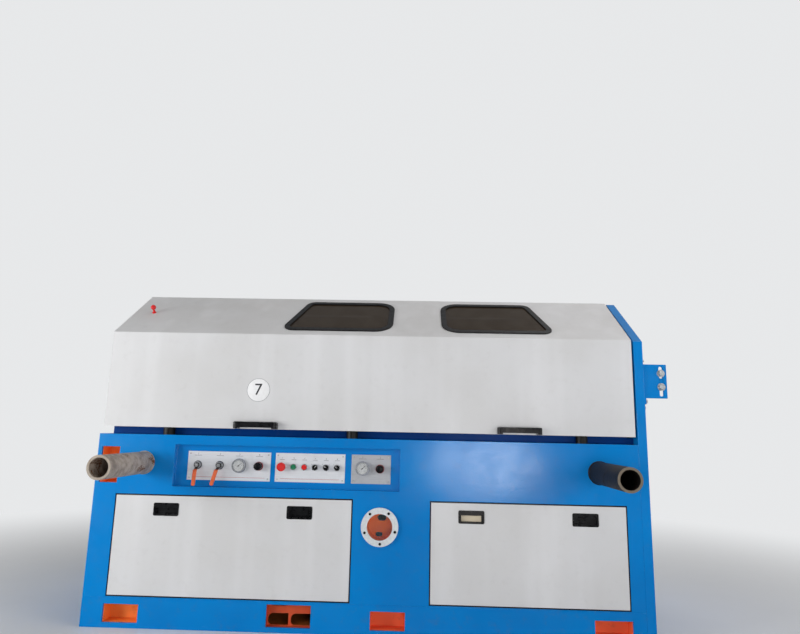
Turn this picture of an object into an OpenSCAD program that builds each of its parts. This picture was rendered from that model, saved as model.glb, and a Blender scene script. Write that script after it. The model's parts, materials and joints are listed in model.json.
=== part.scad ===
// Wet wire drawing machine with a hinged hood, standing on its own base.
// Millimetres. X runs along the machine to the right, the front faces -Y and Z is up.
// The origin is the centre of the base's underside.

/* [Body] */
// Length of the body along X
body_l = 2562; // [2500:1:2700]
// Depth of the body without the lifting tubes
body_d = 1200; // [1150:1:1300]
// Height of the front plate's band above the doors
band_h = 278; // [271:1:296]
// Thickness of the front plate
plate_t = 12; // [8:1:16]
// Height of the sill, the lowest strip of the front
sill_h = 128; // [126:1:130]
// Thickness of the left wall
side_t = 10; // [6:1:14]
// Thickness of the base plate
base_t = 12; // [8:1:14]
// Thickness of the deck under the hood
deck_t = 12; // [6:1:20]
// Thickness of the tall wall at the right end
end_wall_t = 42; // [30:1:60]
// Height of the gear housing and the end wall
housing_h = 1592; // [1580:1:1595]
// Depth of the gear housing at the back
housing_d = 338; // [300:1:380]
// Thickness of the covers on the back
rear_cover_t = 3; // [2:1:6]
// Distance from the edges of the back to its covers
rear_margin = 110; // [90:1:140]

/* [Doors] */
// Distance from each end of the body to the nearer door
door_margin = 111; // [108:1:130]
// Width of the left door
left_door_w = 1095; // [1050:1:1110]
// Width of the right door
right_door_w = 880; // [850:1:900]
// Height of both doors
door_h = 436; // [420:1:440]
// Height of the doors' lower edge above the sill
door_rise = 10; // [10:1:17]
// Gap round each door
door_gap = 6; // [3:1:6]
// Sheet thickness of the doors
door_sheet = 3; // [2:1:4]
// Thickness of the frame that each door seats on
door_frame_t = 4; // [3:1:8]
// Width of the frame behind a door's edge
door_seat = 15; // [10:1:25]
// Width of a flush pull's flange
pull_w = 118; // [100:1:140]
// Height of a flush pull's flange
pull_h = 58; // [50:1:70]
// Rim of a flush pull round its cup
pull_rim = 5; // [4:1:8]
// Thickness of a flush pull's flange and walls
pull_t = 2; // [1:0.5:3]
// Corner radius of a flush pull's flange
pull_r = 7; // [4:1:10]
// Depth of a flush pull's cup
pull_depth = 16; // [12:1:24]
// Height of the paddle that closes the upper part of a flush pull
paddle_h = 14; // [10:1:16]
// Thickness of the paddle
paddle_t = 4; // [3:1:6]
// Distance from the left door's sides to the middles of its flush pulls
left_pull_inset = 238; // [200:1:250]
// Distance from the right door's sides to the middles of its flush pulls
right_pull_inset = 183; // [150:1:200]
// Distance from a door's top to the middle of a flush pull
pull_drop = 60; // [50:1:80]

/* [Front openings] */
// Distance from the left end to the control recess
recess_x = 367; // [355:1:380]
// Width of the control recess
recess_w = 1057; // [1045:1:1070]
// Distance from the doors' tops up to the control recess
recess_rise = 44; // [38:1:48]
// Height of the control recess
recess_h = 190; // [180:1:194]
// Depth of the control recess
recess_depth = 28; // [24:1:36]
// Sheet thickness of the control recess
recess_sheet = 3; // [2:1:4]
// Distance from the left end to the side slot
slot_x = 19; // [14:1:24]
// Width of the side slot
slot_w = 85; // [70:1:95]
// Distance from the doors' tops up to the side slot
slot_rise = 55; // [26:1:76]
// Height of the side slot
slot_h = 164; // [140:1:190]
// Depth of the pocket behind the side slot, from the front
slot_depth = 80; // [60:1:120]
// Distance from the left end to the sight glass's centre
sight_x = 1338; // [1330:1:1345]
// Height of the sight glass's centre
sight_z = 461; // [440:1:480]
// Outer radius of the sight glass's ring
sight_ring_r = 85; // [80:1:90]
// Radius of the opening in the ring
sight_open_r = 58; // [50:1:62]
// Thickness of the ring
sight_ring_t = 10; // [8:1:16]
// Thickness of the sight glass
sight_glass_t = 6; // [4:1:7]
// Depth of the well behind the sight glass
sight_well_d = 80; // [60:1:120]
// Wall of the well behind the sight glass
sight_well_t = 5; // [3:1:8]

/* [Base pockets] */
// Distance from the left end to each base pocket
pocket_x = [99, 840, 1305, 2295];
// Width of each base pocket
pocket_w = [161, 200, 155, 167];
// Distance from the sill's top down to each base pocket
pocket_drop = [28, 11, 27, 36];
// Height of the base pockets' floors
pocket_z = 22; // [21:1:24]
// Depth of each base pocket from the front
pocket_depth = [80, 35, 80, 80];
// Wall of the base pockets
pocket_t = 5; // [3:1:6]

/* [Lifting tubes] */
// Distance from each end of the body to a lifting tube
tube_inset = 222; // [212:1:230]
// Distance from the front plate's top down to the middle of the lifting tubes
tube_drop = 130; // [117:1:142]
// Outer diameter of the lifting tubes
tube_od = 100; // [90:1:110]
// Wall of the lifting tubes
tube_wall = 10; // [6:1:14]
// How far the tubes stand out at the front and the back
tube_reach = 410; // [350:1:450]
// Width of the weld round a tube where it leaves the body
weld_w = 4; // [2:1:8]

/* [Controls] */
// Thickness of the control panels
panel_t = 2; // [1:0.5:3]
// Height of the control panels
panel_h = 132; // [120:1:140]
// Height of the panels' lower edge above the recess's lower edge
panel_z = 29; // [24:1:34]
// Distance from the recess's left end to each panel
panel_x = [56, 472, 830];
// Width of each panel
panel_w = [393, 328, 184];
// Height of the controls above the panels' lower edge
control_z = 69; // [66:1:72]
// Distance from the recess's left end to each valve
valve_x = [104, 208];
// Lean of each valve lever to the left of hanging down
valve_lean = [3, 15];
// Length of a valve lever from its stem
lever_l = 94; // [88:1:96]
// Width of a valve lever's grip
grip_w = 18; // [15:1:19]
// Thickness of a valve lever's grip
grip_t = 12; // [10:1:14]
// Length of a valve lever's grip
grip_l = 71; // [64:1:72]
// Distance from the recess's left end to each gauge
gauge_x = [300, 882];
// Outer radius of the gauges
gauge_r = 31; // [29:1:34]
// Depth of the gauges' cases in front of the panel
gauge_t = 14; // [12:1:18]
// Distance from the recess's left end to each regulator knob
knob_x = [394, 964];
// Radius of the regulator knobs
knob_r = 18; // [16:1:20]
// Distance from the recess's left end to the emergency stop
stop_x = 503; // [500:1:505]
// Radius of the emergency stop's head
stop_r = 20; // [18:1:22]
// Distance from the recess's left end to each push button
button_x = [558, 609];
// Radius of the push buttons and selectors
button_r = 12; // [10.5:0.5:12.5]
// Distance from the recess's left end to each selector
selector_x = [659, 711, 763];
// Turn of each selector from upright, to the right
selector_turn = [45, -45, -45];

/* [Hood] */
// Height of the gap between the front plate and the hood
hood_gap = 35; // [30:1:40]
// Height of the crease in the hood's front
hood_crease_z = 1340; // [1330:1:1350]
// Height of the hood's top above the gear housing
hood_rise = 6; // [4:1:9]
// Depth of the hood's sloped panel
hood_slope_d = 385; // [370:1:400]
// Sheet thickness of the hood
hood_sheet = 3; // [2:1:4]
// Outer radius of the folds in the hood's sheet
hood_fold_r = 8; // [6:1:12]
// Distance from the body's left end to the hood
hood_left_gap = 15; // [10:1:20]
// Gap between the hood and the tall end wall
hood_right_gap = 10; // [6:1:14]
// Gap between the hood's back edge and the gear housing
hood_back_gap = 12; // [10:1:16]
// Width of the fold along the hood's front edge
hood_fold = 36; // [34:1:40]
// Width of the fold along the hood's lower side edges
hood_side_fold = 15; // [10:1:20]
// Width of a window at its longer edge
window_w = 553; // [520:1:570]
// Distance from the crease to the windows' lower edge
window_s = 48; // [40:1:55]
// Distance from the windows' upper edge to the hood's top, along the slope
window_top = 55; // [45:1:70]
// How far a window's slanted end leans in
window_lean = 88; // [70:1:100]
// Distance from the hood's left end to each window
window_x = [805, 1600];
// Corner radius at the windows' upright ends
window_r = 90; // [70:1:110]
// Corner radius at the windows' slanted ends
window_lean_r = 50; // [40:1:65]
// Thickness of the window glass
glass_t = 3; // [2:1:4]
// Width of the rubber seal round a window
seal_w = 26; // [24:1:32]
// How far the seal stands out of the hood
seal_t = 6; // [4:1:8]
// Length of a hood handle
handle_l = 204; // [190:1:220]
// Height of a hood handle
handle_h = 32; // [26:1:40]
// How far a hood handle stands out
handle_reach = 42; // [36:1:50]
// Thickness of a hood handle's bar
handle_bar = 15; // [12:1:18]
// Length of a hood handle's feet
handle_foot = 22; // [18:1:28]
// How far a handle's feet reach down below its bar
handle_drop = 6; // [3:1:9]
// Outer corner radius of a hood handle, seen from above
handle_r = 14; // [10:1:17]
// Radius of a handle's upper corners, seen from the front
handle_shoulder = 8; // [4:1:12]
// Distance from the hood's lower edge to a handle
handle_z = 1; // [1:1:12]
// Distance from the hood's left end to the middle of each handle
handle_x = [729, 1960];
// Distance from the hood's left end to the ball lamp
lamp_x = 101; // [80:1:120]
// Distance from the crease to the ball lamp, along the slope
lamp_s = 240; // [220:1:260]
// Radius of the ball lamp
lamp_r = 13; // [11:1:15]
// Length of the ball lamp's stem
lamp_stem = 22; // [16:1:30]
// Radius of the ball lamp's stem
lamp_stem_r = 5; // [4:1:7]
// Radius of the ball lamp's foot
lamp_foot_r = 10; // [8:1:14]
// Distance from the body's left end to each hood hinge
hinge_x = [281, 1270, 2200];
// Width of a hood hinge
hinge_w = 120; // [100:1:160]
// Length of a hinge leaf from its knuckle
hinge_leaf = 60; // [45:1:80]
// Thickness of a hinge leaf
hinge_leaf_t = 4; // [3:1:5]
// Radius of a hinge knuckle
hinge_r = 11; // [9:1:12]
// Radius of a hinge pin
hinge_pin_r = 6; // [5:1:7]
// Distance from the body's left end to each rubber bumper
bumper_x = [320, 1195, 2270];
// Radius of the rubber bumpers
bumper_r = 27; // [22:1:28]
// Chamfer round the top of a rubber bumper
bumper_chamfer = 4; // [2:1:6]

/* [Drawing unit] */
// Distance from the body's left end to each drawing cone
cone_x = [521, 941, 1461, 1881];
// Height of the cones' axes above the deck
cone_rise = 133; // [123:1:148]
// Radius of a cone's largest step
cone_r = 140; // [120:1:150]
// Each step's radius as a share of the one before
cone_ratio = 0.91; // [0.88:0.01:0.94]
// Number of steps on a cone
cone_steps = 6; // [4:1:7]
// Width of a step
step_w = 44; // [36:1:48]
// Chamfer at the front edge of a step
step_lip = 4; // [2:1:6]
// Thickness of a cone's back flange and of its nose
cone_flange_t = 8; // [5:1:12]
// How far a cone's back flange stands above its first step
cone_back_lip = 10; // [6:1:12]
// How far a cone's nose stands above its last step
cone_nose_lip = 5; // [3:1:8]
// Radius of the cap in front of a cone
cap_r = 45; // [36:1:52]
// Thickness of the cap in front of a cone
cap_t = 15; // [10:1:20]
// Radius of a shaft's nut over its corners
nut_r = 21; // [18:1:26]
// Thickness of a shaft's nut
nut_t = 14; // [10:1:18]
// Radius of the cones' shafts
shaft_r = 30; // [24:1:36]
// Free length of a shaft between its boss and its cone
shaft_gap = 30; // [20:1:36]
// Radius of a bearing housing's flange
boss_r = 75; // [70:1:90]
// Length of a bearing housing
boss_l = 30; // [24:1:40]
// Thickness of a bearing housing's flange
boss_flange_t = 12; // [8:1:16]
// Radius of a bearing housing's barrel, in front of its flange
barrel_r = 56; // [48:1:62]
// Chamfer round the front of a bearing housing's barrel
barrel_chamfer = 3; // [2:1:5]
// Thickness of a die stand's web
stand_web = 22; // [16:1:30]
// Height of a die stand's web above and below its dies
stand_rise = 36; // [28:1:44]
// Height of a die stand's web below the cones' axes, at the housing
stand_drop = 40; // [30:1:50]
// Width of a die stand's foot
foot_w = 100; // [80:1:110]
// Thickness of a die stand's foot
foot_t = 14; // [10:1:20]
// Length of a die's seat through its stand
seat_l = 50; // [44:1:56]
// Wall of a die's seat
seat_wall = 7; // [5:1:7]
// Radius of a drawing die
die_r = 14; // [10:1:14]
// Thickness of a drawing die
die_t = 22; // [16:1:26]
// Radius of a drawing die's hole
die_hole_r = 3; // [1:0.5:4]
// Radius of the funnel in front of a drawing die's hole
die_funnel_r = 9; // [6:1:9]
// Radius over the corners of the hollow screw that holds a die
clamp_r = 17; // [15:1:19]
// Thickness of that screw's head
clamp_t = 7; // [5:1:10]
// Distance from the body's left end to the finishing drum
drum_x = 2250; // [2220:1:2270]
// Height of the finishing drum's axis above the deck
drum_rise = 278; // [248:1:308]
// Radius of the finishing drum
drum_r = 115; // [100:1:125]
// Width of the finishing drum
drum_w = 120; // [90:1:150]
// Thickness of the drum's flanges
drum_flange_t = 10; // [6:1:14]
// How far the drum's back flange stands above its face
drum_back_lip = 16; // [10:1:20]
// How far the drum's front flange stands above its face
drum_front_lip = 8; // [5:1:12]
// Thickness of the drum's rim
drum_rim = 18; // [12:1:24]
// Depth of the drum's open front
drum_dish = 60; // [40:1:70]
// Distance from the body's left end to the tank
tank_x = 301; // [290:1:310]
// Length of the tank
tank_l = 1820; // [1780:1:1850]
// Distance from the deck's front to the tank
tank_y = 158; // [140:1:170]
// Distance from the tank to the gear housing
tank_back_gap = 47; // [45:1:49]
// Depth of the tank's floor below the deck
tank_depth = 195; // [150:1:210]
// Sheet thickness of the tank
tank_sheet = 3; // [2:1:5]
// Width of the tank's flange
tank_flange = 30; // [20:1:36]
// Thickness of the tank's flange
tank_flange_t = 6; // [4:1:8]
// Depth of the ledge in front of the drip rim
rim_setback = 60; // [58:1:68]
// Height of the drip rim above the deck
rim_h = 68; // [50:1:90]
// Thickness of the drip rim
rim_t = 4; // [3:1:6]
// Gap between the drip rim and the fold of the hood
rim_gap = 6; // [5:1:9]

/* [End bracket] */
// Width of the bracket's web
bracket_w = 110; // [100:1:130]
// Height of the bracket
bracket_h = 159; // [155:1:180]
// Height of the bracket's lower edge
bracket_z = 1068; // [1040:1:1080]
// Thickness of the bracket
bracket_t = 10; // [8:1:14]
// Length of the bracket's foot along the end wall
bracket_foot = 90; // [60:1:140]
// How far the bracket's foot reaches below its web
bracket_drop = 28; // [20:1:40]
// Distance from the front to the bracket
bracket_setback = 10; // [0:1:30]
// Distance from the end wall to the slots
bracket_slot_x = 83; // [75:1:90]
// Width of a bracket slot
bracket_slot_w = 17; // [12:1:20]
// Length of a bracket slot
bracket_slot_l = 56; // [40:1:60]
// Distance between the middles of the slots
bracket_slot_pitch = 84; // [75:1:90]

/* [Hidden] */

// Clearance between pieces that seat or slide in one another
fit = 0.3;
// Clearance between the hood's sloped sheet and what lies on it
lie = 0.05;
// Smallest overlap that joins the parts of one solid, and how far a cut runs past its face
over = 1;
// Facets of a full circle in the preview
$fn = 64;

x_left = -body_l / 2;
x_right = body_l / 2;
y_front = -body_d / 2;
y_back = body_d / 2;
y_plate = y_front + plate_t;
x_wall = x_left + side_t;
x_end = x_right - end_wall_t;
y_housing = y_back - housing_d;
y_cover = y_back - rear_cover_t;

door_z = sill_h + door_rise;
door_top_z = door_z + door_h;
plate_h = door_top_z + band_h;
recess_z = door_top_z + recess_rise;
slot_z = door_top_z + slot_rise;
tube_z = plate_h - tube_drop;
cone_z = plate_h + cone_rise;
drum_z = plate_h + drum_rise;
pocket_h = [for (drop = pocket_drop) sill_h - drop - pocket_z];

left_door_x = x_left + door_margin;
right_door_x = x_right - door_margin - right_door_w;
// How far a door's frame reaches past its opening
door_frame_lap = 3;

y_recess = y_front + recess_depth;
y_panel = y_recess - panel_t;
x_recess = x_left + recess_x;
z_controls = recess_z + panel_z + control_z;

// Valves: stem, hub, root of the lever and nut, one after the other out of the panel
stem_r = 6;
hub_r = 15;
hub_t = 11.5;
lever_offset = hub_t + 0.5;
lever_root_r = 12;
lever_root_t = 4;
nut_offset = lever_offset + lever_root_t + 0.5;
valve_nut_r = 9;
valve_nut_t = 5.5;
// Half width and thickness of a lever's arm, and distance from the panel to the grip's middle
arm_half = 6;
arm_t = 4;
grip_offset = 32;

// Gauges: width of the rim and depth of the dish inside it
gauge_rim = 6;
gauge_dish = 3;

// Regulator knobs: stem, collar, length, the flutes round the knob and its plain root
knob_stem_r = 8;
knob_collar_t = 6;
knob_collar_lip = 2;
knob_l = 24;
knob_flutes = 12;
flute_r = 2.6;
knob_plain = 4;

// Push buttons, selectors and the emergency stop in their bezels
bezel_lip = 3;
bezel_t = 7;
button_travel = 3;
button_out = 4;
stop_stem_r = 10;
stop_bezel_lip = 5;
stop_gap = 7;
stop_head_t = 15;
stop_edge = 5;
ridge_w = 7;
ridge_h = 14;

hood_x = x_left + hood_left_gap;
hood_end_x = x_end - hood_right_gap;
hood_z = plate_h + hood_gap;
hood_top_z = housing_h + hood_rise;
hood_back_y = y_housing - hood_back_gap;
slope_rise = hood_top_z - hood_crease_z;
slope_a = atan(slope_rise / hood_slope_d);
window_h = norm([hood_slope_d, slope_rise]) - window_s - window_top;
// Distance from a seal's outline to the cut in the sheet
window_cut = 10;
// Thickness of the ball lamp's foot
lamp_foot_t = 4;
hinge_y = y_housing - hood_back_gap / 2;
hinge_z = hood_top_z + hinge_r;

sight_hole_r = sight_open_r + 2;
// Width of the sight glass's seat in the ring
sight_seat = 8;
// Middle, width and height of the two outlets in the back of the well
well_outlets = [[5, 30, 42, 28], [-7, -45, 33, 20]];
// Distance from the second pocket's left side to each outlet, and its width, height and sill
outlet_x = [3, 106];
outlet_w = 92;
outlet_h = 50;
outlet_sill = 2;
// Radii of an outlet's corners, from the lower left one round to the upper left one
outlet_r = [18, 4, 4, 24];
// Place, width and height of the slot along the second pocket's upper edge
pocket_slot_x = 17;
pocket_slot_w = 67;
pocket_slot_h = 12;

tube_r = tube_od / 2;
boss_y = y_housing - boss_l;
tank_w = y_housing - tank_back_gap - (y_plate + tank_y);
stand_x = [for (k = [0, 1]) x_left + (cone_x[2 * k] + cone_x[2 * k + 1]) / 2];

// Radius of one step of a cone
function step_r(i) = cone_r * pow(cone_ratio, i);

// Distance from the housing to the middle of a step
function step_y(i) = boss_l + shaft_gap + cone_flange_t + (i + 0.5) * step_w;

function unit(v) = v / norm(v);

// Round corner at p between the edges from a and to b, moved in by an inset
function corner_arc(p, a, b, r, inset, steps) =
    let (u = unit(a - p), v = unit(b - p),
         half = acos(u * v) / 2,
         c = p + unit(u + v) * r / sin(half),
         from = atan2(u[0], -u[1]),
         turn = 180 - 2 * half)
    [for (i = [0:steps])
        c + (r - inset) * [cos(from + turn * i / steps), sin(from + turn * i / steps)]];

// Counter-clockwise outline with its corners rounded. A corner of radius 0 stays sharp.
function rounded(points, radii, inset = 0, steps = 8) =
    let (n = len(points))
    [for (i = [0:n - 1])
        each radii[i] == 0 ? [points[i]] :
            corner_arc(points[i], points[(i + n - 1) % n], points[(i + 1) % n],
                       radii[i], inset, steps)];

// Corners and radii of window 0 or 1; the slanted ends are the outer ones
function window_points(k) =
    let (x0 = hood_x + window_x[k], x1 = x0 + window_w, s0 = window_s, s1 = window_s + window_h)
    k == 0 ? [[x0, s0], [x1, s0], [x1, s1], [x0 + window_lean, s1]]
           : [[x0, s0], [x1, s0], [x1 - window_lean, s1], [x0, s1]];
function window_radii(k) =
    k == 0 ? [window_lean_r, window_r, window_r, window_lean_r]
           : [window_r, window_lean_r, window_lean_r, window_r];

// Draws a profile given as Y and Z points, from one X to another
module across(from, to) {
    translate([from, 0, 0]) rotate([90, 0, 90]) linear_extrude(to - from) children();
}

// Frame of the hood's sloped panel: X as it is, Y up the slope and Z out of the sheet
module on_slope() {
    translate([0, y_front, hood_crease_z]) rotate([slope_a, 0, 0]) children();
}

// Round solid that stands out of the front, from one distance to another
module out_of(y, from, to, r, facets = $fn) {
    translate([0, y - from, 0]) rotate([90, 0, 0]) cylinder(h = to - from, r = r, $fn = facets);
}

// Any outline that stands out of the front in the same way, drawn as it is seen
module shape_out_of(y, from, to) {
    translate([0, y - from, 0]) rotate([90, 0, 0]) linear_extrude(to - from) children();
}

// Long hole's outline, w wide and h high
module flat_oval(w, h) {
    square([w - h, h], center = true);
    for (side = [-1, 1]) translate([side * (w - h) / 2, 0]) circle(d = h);
}

module rounded_rectangle(w, h, r) {
    square([w - 2 * r, h], center = true);
    square([w, h - 2 * r], center = true);
    for (x = [-1, 1], y = [-1, 1])
        translate([x * (w / 2 - r), y * (h / 2 - r)]) circle(r = r);
}

module base_plate() {
    color("#c75a32")
    translate([x_wall, y_plate, 0]) cube([x_end - x_wall, y_cover - y_plate, base_t]);
}

module front_sill() {
    color("#0b76c4")
    difference() {
        translate([x_left, y_front, 0]) cube([x_end - x_left, plate_t, sill_h]);
        for (i = [0:3])
            translate([x_left + pocket_x[i], y_front - over, pocket_z])
                cube([pocket_w[i], plate_t + 2 * over, pocket_h[i]]);
    }
}

module door_hole(x, w) {
    translate([x - door_gap, y_front - over, door_z - door_gap])
        cube([w + 2 * door_gap, plate_t + 2 * over, door_h + 2 * door_gap]);
}

module front_plate() {
    color("#0b76c4")
    difference() {
        translate([x_left, y_front, sill_h]) cube([x_end - x_left, plate_t, plate_h - sill_h]);
        door_hole(left_door_x, left_door_w);
        door_hole(right_door_x, right_door_w);
        translate([x_recess, y_front - over, recess_z])
            cube([recess_w, plate_t + 2 * over, recess_h]);
        translate([x_left + slot_x, y_front - over, slot_z])
            cube([slot_w, plate_t + 2 * over, slot_h]);
        translate([x_left + sight_x, 0, sight_z])
            out_of(y_front, -plate_t - over, over, sight_hole_r);
        for (x = [x_left + tube_inset, x_right - tube_inset])
            translate([x, 0, tube_z]) out_of(y_front, -plate_t - over, over, tube_r + fit);
    }
}

module left_wall() {
    color("#0b76c4")
    translate([x_left, y_plate, 0]) cube([side_t, y_cover - y_plate, plate_h]);
}

// The end wall's outline follows the hood's, a little lower at the crease
module end_wall() {
    color("#0b76c4")
    across(x_end, x_right)
        polygon([[y_front, 0], [y_back, 0], [y_back, housing_h],
                 [y_front + hood_slope_d, housing_h], [y_front, hood_crease_z - hood_rise]]);
}

module gear_housing() {
    color("#0b76c4")
    difference() {
        translate([x_wall, y_housing, base_t])
            cube([x_end - x_wall, y_cover - y_housing, housing_h - base_t]);
        for (x = [x_left + tube_inset, x_right - tube_inset])
            translate([x, 0, tube_z]) out_of(y_back, -over, housing_d + over, tube_r + fit);
    }
}

// Two low covers on the back, level with the doors in front, and one long one above them
module rear_covers() {
    low_w = (x_end - x_wall - 3 * rear_margin) / 2;
    high_z = plate_h + rear_margin;
    color("#d4d6d4") {
        for (x = [x_wall + rear_margin, x_end - rear_margin - low_w])
            translate([x, y_cover, door_z]) cube([low_w, rear_cover_t, door_h]);
        translate([x_wall + rear_margin, y_cover, high_z])
            cube([x_end - x_wall - 2 * rear_margin, rear_cover_t,
                  housing_h - rear_margin - high_z]);
    }
}

// The drip rim stands inside the hood's folds; under the hood's edge it is lower and longer
module drip_rim() {
    inset = hood_side_fold + rim_gap;
    x0 = hood_x + inset;
    x1 = hood_end_x - inset;
    y0 = y_front + rim_setback;
    z0 = plate_h - over;
    translate([x0, y0, z0]) cube([x1 - x0, rim_t, rim_h + over]);
    translate([x0, y0, z0]) cube([x_end - x0, rim_t, hood_gap - rim_gap + over]);
    for (x = [x0, x1 - rim_t])
        translate([x, y0, z0]) cube([rim_t, y_housing - y0, rim_h + over]);
}

module deck() {
    color("#0a4f94") {
        difference() {
            translate([x_wall, y_plate, plate_h - deck_t])
                cube([x_end - x_wall, y_housing - y_plate, deck_t]);
            translate([x_left + tank_x - fit, y_plate + tank_y - fit, plate_h - deck_t - over])
                cube([tank_l + 2 * fit, tank_w + 2 * fit, deck_t + 2 * over]);
        }
        drip_rim();
    }
}

module tank() {
    color("#8f9498")
    translate([x_left + tank_x, y_plate + tank_y, plate_h - tank_depth])
    difference() {
        union() {
            cube([tank_l, tank_w, tank_depth + over]);
            translate([-tank_flange, -tank_flange, tank_depth])
                cube([tank_l + 2 * tank_flange, tank_w + 2 * tank_flange, tank_flange_t]);
        }
        translate([tank_sheet, tank_sheet, tank_sheet])
            cube([tank_l - 2 * tank_sheet, tank_w - 2 * tank_sheet, tank_depth + tank_flange_t]);
    }
}

module door_frame(x, w) {
    margin = door_gap + door_frame_lap;
    translate([x - margin, y_plate, door_z - margin])
    difference() {
        cube([w + 2 * margin, door_frame_t, door_h + 2 * margin]);
        translate([margin + door_seat, -over, margin + door_seat])
            cube([w - 2 * door_seat, door_frame_t + 2 * over, door_h - 2 * door_seat]);
    }
}

module door_frames() {
    color("#0a4f94") {
        door_frame(left_door_x, left_door_w);
        door_frame(right_door_x, right_door_w);
    }
}

// A door is a shallow pan of folded sheet, as deep as the front plate is thick, with a hole
// for a flush pull at an inset from each of its sides
module door(x, w, inset) {
    color("#d4d6d4")
    translate([x, y_front, door_z])
    difference() {
        cube([w, plate_t, door_h]);
        translate([door_sheet, door_sheet, door_sheet])
            cube([w - 2 * door_sheet, plate_t, door_h - 2 * door_sheet]);
        for (px = [inset, w - inset])
            translate([px - pull_w / 2 + pull_rim, -over,
                       door_h - pull_drop - pull_h / 2 + pull_rim])
                cube([pull_w - 2 * pull_rim, door_sheet + 2 * over, pull_h - 2 * pull_rim]);
    }
}

module left_door() { door(left_door_x, left_door_w, left_pull_inset); }
module right_door() { door(right_door_x, right_door_w, right_pull_inset); }

// A flush pull is a cup with a flange, and a paddle across the upper part of its mouth
module pull() {
    cup_w = pull_w - 2 * (pull_rim + fit);
    cup_h = pull_h - 2 * (pull_rim + fit);
    inner_w = cup_w - 2 * pull_t;
    inner_h = cup_h - 2 * pull_t;
    difference() {
        union() {
            shape_out_of(y_front, 0, pull_t) rounded_rectangle(pull_w, pull_h, pull_r);
            shape_out_of(y_front, -pull_depth, over) square([cup_w, cup_h], center = true);
        }
        shape_out_of(y_front, -pull_depth + pull_t, pull_t + over)
            square([inner_w, inner_h], center = true);
    }
    translate([-inner_w / 2 - over, y_front, inner_h / 2 - paddle_h])
        cube([inner_w + 2 * over, paddle_t, paddle_h + over]);
}

module door_pulls(x, w, inset) {
    color("#17181a")
    for (px = [inset, w - inset])
        translate([x + px, 0, door_z + door_h - pull_drop]) pull();
}

module left_door_pulls() { door_pulls(left_door_x, left_door_w, left_pull_inset); }
module right_door_pulls() { door_pulls(right_door_x, right_door_w, right_pull_inset); }

module control_recess() {
    color("#0b76c4")
    difference() {
        translate([x_recess - recess_sheet, y_plate, recess_z - recess_sheet])
            cube([recess_w + 2 * recess_sheet, y_recess + recess_sheet - y_plate,
                  recess_h + 2 * recess_sheet]);
        translate([x_recess, y_plate - over, recess_z])
            cube([recess_w, y_recess - y_plate + over, recess_h]);
    }
}

module control_panel(i) {
    translate([x_recess + panel_x[i], y_panel, recess_z + panel_z])
        cube([panel_w[i], panel_t, panel_h]);
}

module valve_panel() { color("#d9dcdc") control_panel(0); }
module switch_panel() { color("#d9dcdc") control_panel(1); }
module regulator_panel() { color("#b9bcbc") control_panel(2); }

// Places a control on the panels' front at its distance from the recess's left end
module control_at(x) {
    translate([x_recess + x, 0, z_controls]) children();
}

module valve_hubs() {
    color("#8d9193")
    for (x = valve_x)
        control_at(x) {
            out_of(y_panel, 0, hub_t, hub_r);
            out_of(y_panel, 0, nut_offset + valve_nut_t, stem_r);
            out_of(y_panel, nut_offset, nut_offset + valve_nut_t, valve_nut_r, 6);
        }
}

// A cranked lever: a root plate on the stem, an arm that steps out and a flat grip
module valve_lever(i) {
    color("#e9703c")
    control_at(valve_x[i]) rotate([0, valve_lean[i], 0])
    difference() {
        union() {
            out_of(y_panel, lever_offset, lever_offset + lever_root_t, lever_root_r);
            translate([0, y_panel, 0]) across(-arm_half, arm_half) polygon(lever_arm());
            translate([0, y_panel - grip_offset, -lever_l]) lever_grip();
        }
        out_of(y_panel, lever_offset - over, lever_offset + lever_root_t + over, stem_r + fit);
    }
}

// The arm seen from the side: down from the stem, out to the grip's height and into the grip
function lever_arm() =
    let (root = -lever_offset, face = root - lever_root_t, grip_top = -(lever_l - grip_l),
         out = -grip_offset - arm_t / 2, bend = -lever_root_r - arm_t / 2)
    [[root, -arm_t], [face, -arm_t], [face, bend], [out, grip_top + arm_t / 2],
     [out, grip_top - arm_t], [out + arm_t, grip_top - arm_t], [root, bend - arm_t / 2]];

// The grip's section is a flat oval, and its lower end is round seen from the front
module lever_grip() {
    round_r = grip_w / 2;
    translate([0, 0, round_r]) linear_extrude(grip_l - round_r) flat_oval(grip_w, grip_t);
    intersection() {
        translate([0, 0, round_r]) sphere(r = round_r);
        translate([-round_r, -grip_t / 2, 0]) cube([grip_w, grip_t, round_r + over]);
    }
}

module valve_lever_1() { valve_lever(0); }
module valve_lever_2() { valve_lever(1); }

module pressure_gauges() {
    color("#3a3c3e")
    for (x = gauge_x)
        control_at(x)
        difference() {
            out_of(y_panel, 0, gauge_t, gauge_r);
            out_of(y_panel, gauge_t - gauge_dish, gauge_t + over, gauge_r - gauge_rim);
        }
}

// A collar closed at the panel, in which the knob's stem turns
module knob_collars() {
    color("#b3262a")
    for (x = knob_x)
        control_at(x)
        difference() {
            out_of(y_panel, 0, knob_collar_t, knob_r + knob_collar_lip);
            out_of(y_panel, over, knob_collar_t + over, knob_stem_r + fit);
        }
}

module regulator_knob(i) {
    from = knob_collar_t + over;
    color("#17181a")
    control_at(knob_x[i]) {
        difference() {
            out_of(y_panel, from, from + knob_l, knob_r);
            for (a = [0:360 / knob_flutes:359])
                rotate([0, a, 0]) translate([knob_r + flute_r / 2, 0, 0])
                    out_of(y_panel, from + knob_plain, from + knob_l + over, flute_r);
        }
        out_of(y_panel, 2 * over, from + over, knob_stem_r);
    }
}

module regulator_knob_1() { regulator_knob(0); }
module regulator_knob_2() { regulator_knob(1); }

// Ring that guides a button's or a selector's round body
module bezel(x, bore, lip) {
    control_at(x)
    difference() {
        out_of(y_panel, 0, bezel_t, bore + lip);
        out_of(y_panel, -over, bezel_t + over, bore + fit);
    }
}

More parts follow.
